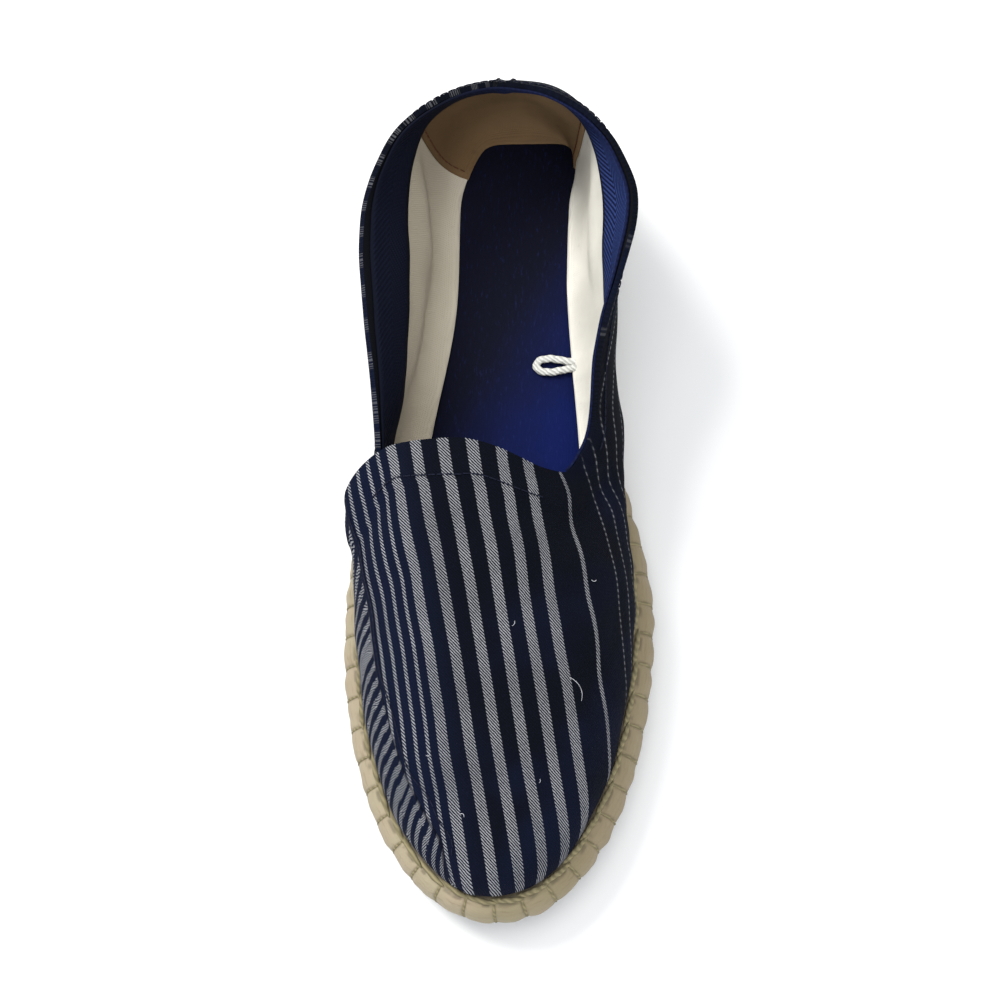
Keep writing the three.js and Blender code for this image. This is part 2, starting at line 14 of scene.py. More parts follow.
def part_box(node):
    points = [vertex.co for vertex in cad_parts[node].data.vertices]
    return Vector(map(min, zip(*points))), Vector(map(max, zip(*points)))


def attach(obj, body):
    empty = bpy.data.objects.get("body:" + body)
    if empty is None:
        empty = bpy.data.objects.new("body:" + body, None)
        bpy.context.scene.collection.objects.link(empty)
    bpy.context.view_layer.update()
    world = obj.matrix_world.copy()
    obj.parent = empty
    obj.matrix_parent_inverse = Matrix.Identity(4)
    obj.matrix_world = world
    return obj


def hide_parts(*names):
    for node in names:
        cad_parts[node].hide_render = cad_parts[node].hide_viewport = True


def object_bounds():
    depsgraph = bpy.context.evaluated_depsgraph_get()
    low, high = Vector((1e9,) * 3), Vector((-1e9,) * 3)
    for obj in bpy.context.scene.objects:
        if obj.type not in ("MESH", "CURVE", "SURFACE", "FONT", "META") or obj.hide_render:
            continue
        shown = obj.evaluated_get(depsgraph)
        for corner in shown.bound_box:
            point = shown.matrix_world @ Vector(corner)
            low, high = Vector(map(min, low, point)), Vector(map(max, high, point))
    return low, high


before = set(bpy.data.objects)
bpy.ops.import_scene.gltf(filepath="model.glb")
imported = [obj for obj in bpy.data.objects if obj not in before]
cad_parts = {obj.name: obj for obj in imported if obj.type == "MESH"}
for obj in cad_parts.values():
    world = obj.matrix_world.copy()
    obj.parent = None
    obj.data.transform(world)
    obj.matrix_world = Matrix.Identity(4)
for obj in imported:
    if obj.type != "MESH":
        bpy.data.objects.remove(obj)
CAD_LOW, CAD_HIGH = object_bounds()

bl_info = {
    "name": "Striped canvas espadrille",
    "version": (1, 0, 0),
    "blender": (4, 5, 0),
    "location": "3D View > Sidebar > Espadrille",
    "description": "Canvas, lining, tape, sock, wrapped edge and stitches of a slip-on espadrille",
    "category": "Object",
}

MM = 0.001
ROOT = "root"
CELLS_PER_SIDE = 32  # the blanket stitches on each side of the sole, as in its own solid
LENGTH = (CAD_HIGH.y - CAD_LOW.y) / MM
HEEL_END = CAD_HIGH.y / MM
TOE_END = CAD_LOW.y / MM
SOLE_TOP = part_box("midsole")[1].z / MM
SOCK_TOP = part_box("insole")[1].z / MM
SHOE_LINE = 1.2  # how far the shoe's own line lies to the inner side of the frame's middle
HEEL_CENTRE = 60.0  # how far along the shoe its round heel has its middle


def display_colour(red, green, blue):
    """A colour given as it looks on a screen, 0 to 255, as the linear values that a shader takes."""
    return tuple(((c / 255 + 0.055) / 1.055) ** 2.4 if c > 10 else c / 255 / 12.92
                 for c in (red, green, blue))


def darker(tint, share):
    return [c * share for c in tint]


def colour(name, description, *rgb):
    return FloatVectorProperty(name=name, description=description, subtype="COLOR", size=3, min=0, max=1,
                               default=display_colour(*rgb))


def length(name, description, millimetres):
    return FloatProperty(name=name, description=description, default=millimetres * MM, unit="LENGTH",
                         precision=5)


class EspadrilleCloth(bpy.types.PropertyGroup):
    """Sizes and colours of the striped canvas."""

    navy: colour("Navy", "Ground of the canvas", 6, 8, 15)
    chalk: colour("Chalk", "Threads of the stripes", 168, 169, 174)
    wide: length("Wide stripe", "Width of the widest stripes", 3.05)
    wide_pitch: length("Wide pitch", "From one wide stripe to the next", 7.45)
    medium: length("Medium stripe", "Width of the stripes at the outer side", 1.05)
    medium_pitch: length("Medium pitch", "From one medium stripe to the next", 3.5)
    side_pitch: length("Side pitch", "From one stripe of the outer quarter to the next", 3.4)
    pin_pitch: length("Pinstripe pitch", "From one pinstripe to the next", 4.4)
    twill: length("Twill", "From one rib of the weave to the next, across", 0.86)
    wall: length("Wall", "Thickness of the canvas with its lining", 1.6)
    hem: length("Hem", "Width of the hem along the throat tab", 11.3)


class EspadrilleInside(bpy.types.PropertyGroup):
    """Sizes and colours of what lies inside the collar."""

    lining: colour("Lining", "Natural canvas lining", 240, 237, 226)
    patch: colour("Heel patch", "Lining patch at the heel", 141, 115, 84)
    tape: colour("Tape", "Herringbone tape that faces the collar", 20, 29, 72)
    tape_width: length("Tape width", "Width of the tape", 15)
    sock: colour("Sock", "Brushed sock on the insole", 10, 24, 80)
    loop: colour("Loop", "Hanging loop", 226, 226, 220)
    sock_heel: length("Sock at the heel", "Half width of the bare sock at the heel", 16.5)
    sock_waist: length("Sock at the throat", "Half width of the bare sock at the throat", 23)


class EspadrilleSole(bpy.types.PropertyGroup):
    """Sizes and colours of the sole."""

    wrap: colour("Wrap", "Cloth wrapped round the sole's edge", 158, 148, 122)
    cord: colour("Stitch cord", "Cord of the blanket stitches", 146, 136, 104)
    stain: colour("Stain", "Dirt low on the edge", 112, 98, 52)
    rubber: colour("Rubber", "Outsole", 24, 23, 24)
    cord_width: length("Cord width", "Thickness of the blanket stitches' cord", 1.5)
    cells: IntProperty(name="Stitches", description="Blanket stitches round the sole",
                       default=2 * CELLS_PER_SIDE, min=8)


class EspadrilleStage(bpy.types.PropertyGroup):
    """The camera, the light and the floor."""

    elevation: FloatProperty(name="Elevation", description="How steeply the camera looks down",
                             default=math.radians(71), subtype="ANGLE")
    distance: length("Distance", "From the camera to the point on the floor that it looks at", 650)
    floor: colour("Floor", "Plain floor", 246, 246, 246)
    key: FloatProperty(name="Key light", description="Power of the main soft light", default=7.6,
                       unit="POWER")


SETTINGS = {
    "espadrille_cloth": EspadrilleCloth,
    "espadrille_inside": EspadrilleInside,
    "espadrille_sole": EspadrilleSole,
    "espadrille_stage": EspadrilleStage,
}


def smooth(x, low, high):
    t = np.clip((np.asarray(x, float) - low) / (high - low), 0, 1)
    return t * t * (3 - 2 * t)


def bump_at(x, middle, width):
    return np.exp(-(((np.asarray(x, float) - middle) / width) ** 2))


def positions(mesh):
    """A mesh's points in millimetres."""
    flat = np.zeros(len(mesh.vertices) * 3)
    mesh.vertices.foreach_get("co", flat)
    return flat.reshape(-1, 3) / MM


def normals_of(mesh):
    return np.array([v.normal for v in mesh.vertices]).reshape(-1, 3)


def move_points(mesh, points):
    mesh.vertices.foreach_set("co", (np.asarray(points) * MM).ravel())
    mesh.update()


def mesh_of(name, points, faces):
    """A mesh from points in millimetres, shaded smooth."""
    mesh = bpy.data.meshes.new(name)
    mesh.from_pydata([tuple(p) for p in np.asarray(points, float) * MM], [], faces)
    mesh.polygons.foreach_set("use_smooth", [True] * len(mesh.polygons))
    mesh.update()
    return mesh


def put_attribute(mesh, name, values, kind="FLOAT"):
    data = mesh.attributes.new(name, kind, "POINT").data
    data.foreach_set("vector" if kind == "FLOAT_VECTOR" else "value", np.asarray(values, float).ravel())


def object_of(name, data, *materials):
    obj = bpy.data.objects.new(name, data)
    bpy.context.scene.collection.objects.link(obj)
    for material in materials:
        data.materials.append(material)
    return obj


def settled(obj):
    """Turns an object's modifiers into its own plain mesh."""
    graph = bpy.context.evaluated_depsgraph_get()
    mesh = bpy.data.meshes.new_from_object(obj.evaluated_get(graph), depsgraph=graph)
    mesh.name = obj.name
    obj.modifiers.clear()
    obj.data = mesh
    return obj


def piece_of(name, points, faces, finish):
    """A closed piece from points in millimetres, its faces turned outward."""
    mesh = mesh_of(name, points, faces)
    body = bmesh.new()
    body.from_mesh(mesh)
    bmesh.ops.recalc_face_normals(body, faces=body.faces)
    body.to_mesh(mesh)
    body.free()
    return object_of(name, mesh, finish)


def thickened(name, sheet, thickness, finish):
    """A piece from a sheet, with half its thickness in millimetres on each side."""
    piece = object_of(name, sheet, finish)
    wall = piece.modifiers.new("wall", "SOLIDIFY")
    wall.thickness = thickness * MM
    wall.offset = 0
    return settled(piece)


def ride(obj, slot, *nodes):
    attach(obj, ROOT)
    if nodes:
        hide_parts(*nodes)


def faces_tree(mesh):
    """A mesh's faces for rays in millimetres."""
    return BVHTree.FromPolygons([Vector(p) for p in positions(mesh)],
                                [list(p.vertices) for p in mesh.polygons])


def points_tree(points):
    tree = KDTree(len(points))
    for i, place in enumerate(points):
        tree.insert(Vector(place), i)
    tree.balance()
    return tree


def distances(points, path):
    """How far each point is from a path."""
    tree = points_tree(resampled(path, spacing=0.8)[0])
    return np.array([tree.find(Vector(p))[2] for p in points])


def noise_at(points, scale):
    return np.array([noise.noise(Vector(p) * scale) for p in points])


def unit(way):
    return way / np.linalg.norm(way)


def merged(node):
    """A node's own triangles as one joined mesh of mostly four-sided faces."""
    body = bmesh.new()
    body.from_mesh(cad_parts[node].data)
    bmesh.ops.remove_doubles(body, verts=body.verts, dist=1e-6)
    bmesh.ops.join_triangles(body, faces=body.faces, angle_face_threshold=math.radians(50),
                             angle_shape_threshold=math.radians(80))
    body.verts.index_update()
    body.faces.index_update()
    return body


def smooth_parts(body, crease):
    """The faces of a mesh in groups that no edge sharper than crease divides, the largest area first."""
    seen = set()
    groups = []
    for first in body.faces:
        if first.index in seen:
            continue
        seen.add(first.index)
        stack = [first]
        group = []
        while stack:
            face = stack.pop()
            group.append(face)
            for edge in face.edges:
                if edge.calc_face_angle(math.pi) < crease:
                    for other in edge.link_faces:
                        if other.index not in seen:
                            seen.add(other.index)
                            stack.append(other)
        groups.append(sorted(group, key=lambda face: face.index))
    return sorted(groups, key=lambda group: -sum(face.calc_area() for face in group))


def sheet_mesh(name, faces):
    index = {}
    for face in faces:
        for vertex in face.verts:
            index.setdefault(vertex.index, (len(index), vertex.co.copy()))
    points = [co / MM for _, co in sorted(index.values(), key=lambda entry: entry[0])]
    return mesh_of(name, points, [[index[v.index][0] for v in face.verts] for face in faces])


def boundary_loops(mesh):
    """The open edges of a sheet as loops of point numbers."""
    count = {}
    for polygon in mesh.polygons:
        for a, b in polygon.edge_keys:
            count[(a, b)] = count.get((a, b), 0) + 1
    follow = {}
    for (a, b), times in count.items():
        if times == 1:
            follow.setdefault(a, []).append(b)
            follow.setdefault(b, []).append(a)
    loops = []
    while follow:
        start = next(iter(follow))
        loop = [start]
        while True:
            ahead = [n for n in follow[loop[-1]] if n in follow and (len(loop) < 2 or n != loop[-2])]
            ahead = [n for n in ahead if n not in loop[1:]]
            if not ahead or ahead[0] == start:
                break
            loop.append(ahead[0])
        for point in loop:
            follow.pop(point, None)
        loops.append(loop)
    return loops


def walked_along(path):
    """The length walked at each point of a path."""
    return np.concatenate([[0], np.cumsum(np.linalg.norm(np.diff(path, axis=0), axis=1))])


def at_walk(at, walked, values):
    """What a path's points hold at walked lengths."""
    return np.stack([np.interp(at, walked, values[:, k]) for k in range(3)], axis=-1)


def resampled(points, spacing=None, count=None):
    """A path with its points at equal steps, and the length walked at each."""
    points = np.asarray(points, float)
    walked = walked_along(points)
    at = np.linspace(0, walked[-1], count or max(2, int(round(walked[-1] / spacing)) + 1))
    return at_walk(at, walked, points), at


def path_frames(path):
    """The direction of a path at each of its points."""
    ahead = np.gradient(np.asarray(path, float), axis=0)
    return ahead / np.maximum(np.linalg.norm(ahead, axis=1, keepdims=True), 1e-9)


def strip_mesh(name, rows):
    """A sheet through rows of points, each row a list across it, with across and along in millimetres."""
    rows = np.asarray(rows, float)
    count, width = rows.shape[:2]
    faces = [[i * width + k, (i + 1) * width + k, (i + 1) * width + k + 1, i * width + k + 1]
             for i in range(count - 1) for k in range(width - 1)]
    mesh = mesh_of(name, rows.reshape(-1, 3), faces)
    put_attribute(mesh, "across", [walked_along(row) for row in rows])
    put_attribute(mesh, "along", np.repeat(walked_along(rows[:, width // 2]), width))
    return mesh


def table(columns, *rows):
    """Rows of values, each as a dictionary by the columns' names."""
    return [dict(zip(columns.split(), row)) for row in rows]


# Node graphs

class Value:
    """A socket that puts out a value. Signs of arithmetic add Math nodes to its graph."""

    def __init__(self, graph, socket):
        self.graph = graph
        self.socket = socket

    def __add__(self, other):
        return self.graph.math("ADD", self, other)

    def __sub__(self, other):
        return self.graph.math("SUBTRACT", self, other)

    def __rsub__(self, other):
        return self.graph.math("SUBTRACT", other, self)

    def __mul__(self, other):
        return self.graph.math("MULTIPLY", self, other)

    def __truediv__(self, other):
        return self.graph.math("DIVIDE", self, other)

    def step(self, low, high, to_low=0.0, to_high=1.0):
        """A smooth step from low to high."""
        return self.graph.one("ShaderNodeMapRange", (self, low, high, to_low, to_high),
                              interpolation_type="SMOOTHSTEP")


class Graph:
    """Adds nodes to a tree, with other nodes' values or plain ones as inputs."""

    def __init__(self, tree):
        self.tree = tree

    def add(self, kind, inputs=(), **settings):
        """A node. inputs come in the order of its sockets, or by their names or numbers."""
        node = self.tree.nodes.new(kind)
        for name, value in settings.items():
            setattr(node, name, value)
        for key, value in inputs.items() if isinstance(inputs, dict) else enumerate(inputs):
            socket = node.inputs[key]
            if isinstance(value, Value):
                self.tree.links.new(value.socket, socket)
            elif socket.type == "RGBA":
                socket.default_value = (*value, 1.0)
            else:
                socket.default_value = value
        return node

    def one(self, kind, inputs=(), output=0, **settings):
        """A node's one output that is used."""
        return Value(self, self.add(kind, inputs, **settings).outputs[output])

    def math(self, operation, *values, clamp=False):
        return self.one("ShaderNodeMath", values, operation=operation, use_clamp=clamp)

    def mix(self, share, under, over):
        return self.one("ShaderNodeMix", {0: share, 6: under, 7: over}, 2, data_type="RGBA")

    def layered(self, colour, *layers):
        """A colour with others laid over it in turn, each as (share, colour)."""
        for share, over in layers:
            colour = self.mix(share, colour, over)
        return colour

    def attribute(self, name):
        return self.one("ShaderNodeAttribute", (), "Fac", attribute_name=name)

    def place(self):
        return self.one("ShaderNodeTexCoord", (), "Object")

    def part(self, vector, axis):
        return self.one("ShaderNodeSeparateXYZ", (vector,), axis)

    def combine(self, x, y, z=0.0):
        return self.one("ShaderNodeCombineXYZ", (x, y, z))

    def noise(self, vector, scale, detail=2.0, rough=0.5):
        return self.one("ShaderNodeTexNoise", {"Vector": vector, "Scale": scale, "Detail": detail,
                                               "Roughness": rough}, "Fac")

    def bands(self, vector, scale, direction="DIAGONAL", distortion=0.0, detail=2.0):
        return self.one("ShaderNodeTexWave", {"Vector": vector, "Scale": scale, "Distortion": distortion,
                                              "Detail": detail},
                        "Fac", wave_type="BANDS", bands_direction=direction)

    def wave(self, value, pitch):
        """A sine of that wavelength."""
        return self.math("SINE", value * (2 * math.pi / pitch))

    def group(self, name, **inputs):
        """A shared group's values, by name."""
        node = self.add("ShaderNodeGroup", inputs, node_tree=shared_tree(name))
        return {socket.name: Value(self, socket) for socket in node.outputs}


class Finish(Graph):
    """A new material and its graph."""

    def __init__(self, name):
        self.material = bpy.data.materials.new(name)
        self.material.use_nodes = True
        super().__init__(self.material.node_tree)
        self.tree.nodes.clear()

    def done(self, colour, roughness, specular, height=None, depth=0.0, **more):
        """The material, with its relief as a height and a depth in millimetres."""
        inputs = {"Base Color": colour, "Roughness": roughness, "Specular IOR Level": specular}
        if height is not None:
            inputs["Normal"] = self.one("ShaderNodeBump", {"Strength": 1.0, "Distance": depth * MM,
                                                           "Height": height})
        inputs.update((name.replace("_", " ").title(), value) for name, value in more.items())
        self.add("ShaderNodeOutputMaterial", {"Surface": self.one("ShaderNodeBsdfPrincipled", inputs)})
        return self.material


def stripe_set(graph, given):
    """A run of parallel stripes: Count of them, Pitch apart, the first at Start."""
    local = (given["Across"] - given["Start"]) / given["Pitch"]
    index = graph.math("MAXIMUM", graph.math("ROUND", local), 0.0)
    index = graph.math("MINIMUM", index, given["Count"] - 1.0)
    off = graph.math("ABSOLUTE", local - index) * given["Pitch"]
    return {"Mask": (off - given["Width"] * 0.5).step(-0.12, 0.12, 1.0, 0.0)}


def twill_weave(graph, given):
    """The diagonal ribs of a twill: a height and a mask of the ribs, frayed a little."""
    across, along = given["Across"], given["Along"]
    warp = graph.noise(graph.combine(across, along), 0.8, 1.0) * 0.35
    slanted = along * given["Slope"] + (warp + across)
    rib = graph.wave(slanted / given["Pitch"], 1.0) * 0.5 + 0.5
    knots = graph.wave(along / given["Pitch"], 1 / 1.7) * 0.06
    fray = graph.noise(graph.combine(across, along * 0.6), 2.4) - 0.5
    return {"Rib": rib, "Mask": (fray * 0.35 + (knots + rib)).step(0.34, 0.66)}


def plain_weave(graph, given):
    """The small checks of a plain weave, from Object coordinates."""
    warp, weft = (graph.bands(given["Vector"], given["Scale"], way, 1.2, 1.0) for way in ("DIAGONAL", "Z"))
    return {"Height": warp * weft}


def bowed_stitches(graph, given):
    """A short bowed cord on each point, lying along its lie attribute, with its outward attribute up."""
    half = given["Length"] * 0.5
    line = graph.one("GeometryNodeCurveQuadraticBezier", {
        "Resolution": 6, "Start": graph.combine(half * -1.0, 0.0), "End": graph.combine(half, 0.0),
        "Middle": graph.combine(0.0, 0.0, given["Bow"])})
    ring = graph.one("GeometryNodeCurvePrimitiveCircle", {"Resolution": 6, "Radius": given["Radius"]})
    cord = graph.one("GeometryNodeCurveToMesh", {"Curve": line, "Profile Curve": ring, "Fill Caps": True})
    outward, lie, size = (
        graph.one("GeometryNodeInputNamedAttribute", {"Name": name}, data_type="FLOAT_VECTOR")
        for name in ("outward", "lie", "size"))
    turn = graph.one("FunctionNodeAxesToRotation", (outward, lie), primary_axis="Z", secondary_axis="X")
    placed = graph.one("GeometryNodeInstanceOnPoints", {"Points": given["Places"], "Instance": cord,
                                                        "Rotation": turn, "Scale": size})
    shaded = graph.one("GeometryNodeSetShadeSmooth", (graph.one("GeometryNodeRealizeInstances", (placed,)),))
    return {"Geometry": graph.one("GeometryNodeSetMaterial", {"Geometry": shaded,
                                                              "Material": given["Material"]})}


# The shared node groups: what builds each, and its inputs.
SHARED = {
    "stripe set": (stripe_set, ("Across", "Start", "Pitch", "Count", "Width")),
    "twill weave": (twill_weave, ("Across", "Along", "Pitch", "Slope")),
    "plain weave": (plain_weave, ("Vector", "Scale")),
    "stitches": (bowed_stitches, ("Places", "Length", "Radius", "Bow", "Material")),
}
SOCKET_KINDS = {"Vector": "Vector", "Places": "Geometry", "Geometry": "Geometry", "Material": "Material"}


def shared_tree(name):
    """A shared node group, made when it is first asked for."""
    if name in bpy.data.node_groups:
        return bpy.data.node_groups[name]
    build, inputs = SHARED[name]
    kind = "GeometryNodeTree" if "Places" in inputs else "ShaderNodeTree"
    graph = Graph(bpy.data.node_groups.new(name, kind))

    def open_sockets(names, side):
        for socket in names:
            graph.tree.interface.new_socket(name=socket, in_out=side,
                                            socket_type="NodeSocket" + SOCKET_KINDS.get(socket, "Float"))

    open_sockets(inputs, "INPUT")
    given = {socket.name: Value(graph, socket) for socket in graph.add("NodeGroupInput").outputs}
    results = build(graph, given)
    open_sockets(results, "OUTPUT")
    graph.add("NodeGroupOutput", results)
    return graph.tree


# Finishes

def stripes(graph, coordinate, *sets):
    """Where stripes lie, from sets of them: start, pitch, count and width in millimetres."""
    white = None
    for start, pitch, count, width in sets:
        mask = graph.group("stripe set", Across=coordinate, Start=start, Pitch=pitch, Count=count,
                           Width=width)["Mask"]
        white = graph.math("MAXIMUM", white, mask) if white else mask
    return white


def canvas_material():
    cloth = bpy.context.scene.espadrille_cloth
    wide_pitch, medium_pitch, side_pitch = (
        pitch / MM for pitch in (cloth.wide_pitch, cloth.medium_pitch, cloth.side_pitch))
    wide_count, medium_count, pin_count = 6, 11, 14
    first = -wide_count / 2 * wide_pitch
    medium_start = first - 0.9 - medium_count * medium_pitch
    thin, thin_width = 2 * wide_pitch + 11.4, 1.25  # the single thin stripe at the inner side
    pin_start, pin_width = thin + 10.3, 0.42
    dash = 1.6  # from one dash of a pinstripe to the next
    graph = Finish("striped canvas")
    place = graph.place()
    across, along, side, run, seam, rim = (graph.attribute(name) for name in (
        "across", "along", "side_across", "side_along", "seam", "rim"))
    front = stripes(graph, across, (first, wide_pitch, wide_count, cloth.wide / MM),
                    (medium_start, medium_pitch, medium_count, cloth.medium / MM),
                    (thin, 1.0, 1, thin_width))
    pins = stripes(graph, across, (pin_start, cloth.pin_pitch / MM, pin_count, pin_width))
    pins = pins * graph.wave(along, dash).step(-0.35, 0.45, 0.08, 0.5)
    back = stripes(graph, side, (0.0, side_pitch, 84, 0.46 * side_pitch), (10.3, 32.0, 7, 2.4))
    panel = seam.step(-0.2, 0.2)
    bare = 1.0 - panel
    weave = graph.group("twill weave", Across=(side - across) * panel + across,
                        Along=(run - along) * panel + along, Pitch=cloth.twill / MM, Slope=0.84)
    white = (front * bare + back * panel) * weave["Mask"]
    white = graph.math("ADD", white, pins * bare, clamp=True)
    white = white * graph.noise(place, 60.0, 3.0).step(0.25, 0.7, 0.72, 1.0)
    white = white * rim.step(0.8, 3.6, 0.22, 1.0)
    cloud = graph.noise(place, 26.0, 3.0).step(0.5, 0.72, 0.0, 0.75)
    speck = graph.noise(place, 2600.0)
    # Painted light: the navy is painted bluer toward the outer side of the vamp, from across −8 mm to −32
    # mm, where the light falls; the cloud lays the same blue on at random.
    navy = graph.layered(
        cloth.navy,
        (graph.math("MAXIMUM", cloud, across.step(-8.0, -32.0)), display_colour(11, 18, 38)),
        (speck.step(0.5, 0.8, 0.0, 0.18), display_colour(27, 35, 64)),
        (weave["Rib"] * 0.08, display_colour(26, 32, 58)))
    chalk = graph.mix(speck.step(0.3, 0.75), darker(cloth.chalk, 0.66), cloth.chalk)
    return graph.done(graph.mix(white, navy, chalk), 0.95, 0.08, white * 0.5 + weave["Rib"], 0.16)


def plain_canvas_material(name, tint, shade, scale=900.0, edge=None):
    """Natural canvas, browner on the outer side as painted shade. edge is the colour of a band along the
    collar.
    """
    graph = Finish(name)
    place = graph.place()
    weave = graph.group("plain weave", Vector=place, Scale=scale)["Height"]
    base = graph.layered(
        tint,
        (graph.noise(place, 30.0, 4.0, 0.6).step(0.35, 0.75), shade),
        (graph.noise(place, 210.0, 3.0).step(0.66, 0.8, 0.0, 0.4), darker(shade, 0.6)),
        (weave * 0.18, darker(tint, 0.7)),
        # Painted shade: toward the outer side the canvas is painted darker and browner, for the shadow on
        # that wall.
        (graph.part(place, "X").step(0.02, -0.03, 0.0, 0.85),
         [c * w for c, w in zip(shade, (0.55, 0.47, 0.36))]))
    if edge:
        base = graph.mix(graph.attribute("rim").step(10.0, 11.0, 1.0, 0.0), base, edge)
    return graph.done(base, 0.95, 0.15, weave, 0.1)


def herringbone_material():
    inside = bpy.context.scene.espadrille_inside
    width = inside.tape_width / MM
    rib_pitch = 1.75
    graph = Finish("herringbone tape")
    place, across, along = graph.place(), graph.attribute("across"), graph.attribute("along")
    slanted = graph.math("PINGPONG", across, width / 2) * 1.25 + along
    rib = graph.wave(slanted, rib_pitch) * 0.5 + 0.5
    hems = graph.math("MINIMUM", across, width - across).step(0.3, 1.4, 0.1, 1.0)
    lift = rib * graph.noise(place, 1900.0).step(0.25, 0.7, 0.55, 1.0) * hems
    # Painted shade by side: the outer side of the tape is painted near black for the shade it lies in, and
    # its ribs dimmer; the inner side is painted lit.
    lit_side = graph.part(place, "X").step(-0.02, 0.02)
    base = graph.mix(lift * (lit_side * 0.7 + 0.3), darker(inside.tape, 0.4), display_colour(50, 69, 128))
    base = graph.mix(lit_side, graph.mix(0.85, base, display_colour(6, 9, 20)), base)
    return graph.done(base, 0.85, 0.12, lift, 0.22)


def sock_material():
    dark = display_colour(9, 11, 27)
    graph = Finish("brushed sock")
    place = graph.place()
    # Painted shade: the sock is painted near black toward the heel and the outer side, where the walls shade
    # it, and in its own blue toward the toe and the inner side.
    lit_share = graph.part(place, "Y") * -0.55 + graph.part(place, "X")
    drawn_out = graph.one("ShaderNodeMapping", {"Vector": place, "Scale": (1.0, 0.22, 1.0)})
    fibre = graph.noise(drawn_out, 1500.0, 3.0, 0.7)
    base = graph.layered(
        dark,
        (lit_share.step(-0.03, 0.016), bpy.context.scene.espadrille_inside.sock),
        (graph.noise(place, 45.0, 3.0).step(0.4, 0.7, 0.0, 0.3), dark),
        (fibre.step(0.55, 0.85, 0.0, 0.22), display_colour(52, 66, 140)))
    return graph.done(base, 0.9, 0.12, fibre, 0.18, sheen_weight=0.06, sheen_roughness=0.4)


def wrap_material():
    sole = bpy.context.scene.espadrille_sole
    graph = Finish("wrapped edge")
    place, height = graph.place(), graph.attribute("height")
    streaks = graph.noise(graph.combine(graph.attribute("along") * 0.09, height * 0.9), 1.6, 4.0, 0.62)
    dirt = height.step(2.0, 11.0, 1.0, 0.0) * graph.noise(place, 38.0, 4.0, 0.7).step(0.42, 0.68)
    base = graph.layered(
        sole.wrap,
        (graph.noise(place, 55.0, 4.0, 0.6).step(0.35, 0.65), display_colour(160, 146, 123)),
        (graph.noise(place, 24.0, 3.0).step(0.5, 0.72, 0.0, 0.7), display_colour(138, 130, 98)),
        (streaks.step(0.5, 0.75, 0.0, 0.55), display_colour(118, 104, 78)),
        (dirt * 0.75, sole.stain),
        # Painted shade: the edge is painted browner and darker toward the inner side, which faces away from
        # the light.
        (graph.part(place, "X").step(-0.02, 0.04, 0.0, 0.6), display_colour(126, 110, 80)),
        # Painted shade: the grooves between the cells are painted dark brown.
        (graph.attribute("groove") * 0.85, display_colour(66, 54, 34)),
        # Painted shadow: dark dashes where the cloth turns in at the cord and at the outsole, and dark all
        # over further in.
        (graph.attribute("slit") * streaks.step(0.3, 0.5, 0.5, 0.85), display_colour(52, 42, 26)))
    return graph.done(base, 0.62, 0.35, graph.noise(place, 1500.0) * 0.25 + streaks, 0.35)


def cord_material(name, tint, twist=1.5):
    graph = Finish(name)
    place = graph.place()
    turn = graph.bands(place, 330.0 / twist, distortion=3.0)
    cloud = graph.noise(place, 60.0, 3.0).step(0.4, 0.7, 0.0, 0.5)
    base = graph.layered(darker(tint, 0.6), (turn, tint), (cloud, darker(tint, 0.72)))
    return graph.done(base, 0.85, 0.2, turn, 0.15)


def rubber_material():
    graph = Finish("outsole rubber")
    place = graph.place()
    dust = graph.noise(place, 40.0, 4.0, 0.65)
    base = graph.mix(dust.step(0.45, 0.75, 0.0, 0.6), bpy.context.scene.espadrille_sole.rubber,
                     display_colour(70, 66, 60))
    relief = graph.noise(place, 900.0, 3.0) * 0.2 + graph.bands(place, 62.0)
    return graph.done(base, dust.step(0.3, 0.7, 0.55, 0.8), 0.4, relief, 0.35)


def stitch_piece(name, places, lies, outwards, size, finish, bow=0.3):
    """One mesh of many stitches. size is a stitch's length and radius in millimetres."""
    mesh = mesh_of(name, places, [])
    sizes = np.random.default_rng(3).uniform(0.9, 1.1, (len(places), 3))
    for attribute, values in (("lie", lies), ("outward", outwards), ("size", sizes)):
        put_attribute(mesh, attribute, values, "FLOAT_VECTOR")
    obj = object_of(name, mesh)
    modifier = obj.modifiers.new("stitches", "NODES")
    modifier.node_group = shared_tree("stitches")
    values = {"Length": size[0] * MM, "Radius": size[1] * MM, "Bow": bow * MM, "Material": finish}
    for item in modifier.node_group.interface.items_tree:
        if item.in_out == "INPUT" and item.name in values:
            modifier[item.identifier] = values[item.name]
    return settled(obj)


# The shoe's own surfaces

def sole_ring():
    """The outsole's outline, from the heel round by the inner side, at equal steps on each side."""
    body = merged("outsole")
    places = {}
    for vertex in body.verts:
        x, y, z = vertex.co / MM
        places.setdefault((round(x, 2), round(y, 2)), []).append(z)
    body.free()
    ring = [(x, y, max(heights)) for (x, y), heights in places.items() if len(heights) > 1]
    return np.array(sorted(ring, key=lambda p: math.atan2(p[0], p[1]) % (2 * math.pi)))


RING = sole_ring()
WRAP_OUT = HEEL_END - RING[:, 1].max()  # from the outsole's outline to the wrapped edge's


def outline_at(share, inset):
    """A point and its outward way at a share 0 to 2 round the sole, inset from its widest line."""
    count = len(RING)
    at = (share % 2) * count / 2
    i, t = int(at) % count, at - int(at)
    a, b, c, d = (RING[(i + k) % count] for k in (-1, 0, 1, 2))
    point = 0.5 * (2 * b + (c - a) * t + (2 * a - 5 * b + 4 * c - d) * t ** 2
                   + (3 * b - a - 3 * c + d) * t ** 3)
    along = (c - a) * (1 - t) + (d - b) * t
    along = along / np.linalg.norm(along[:2])
    outward = np.array([-along[1], along[0], 0.0])
    return point + outward * (WRAP_OUT - inset), outward


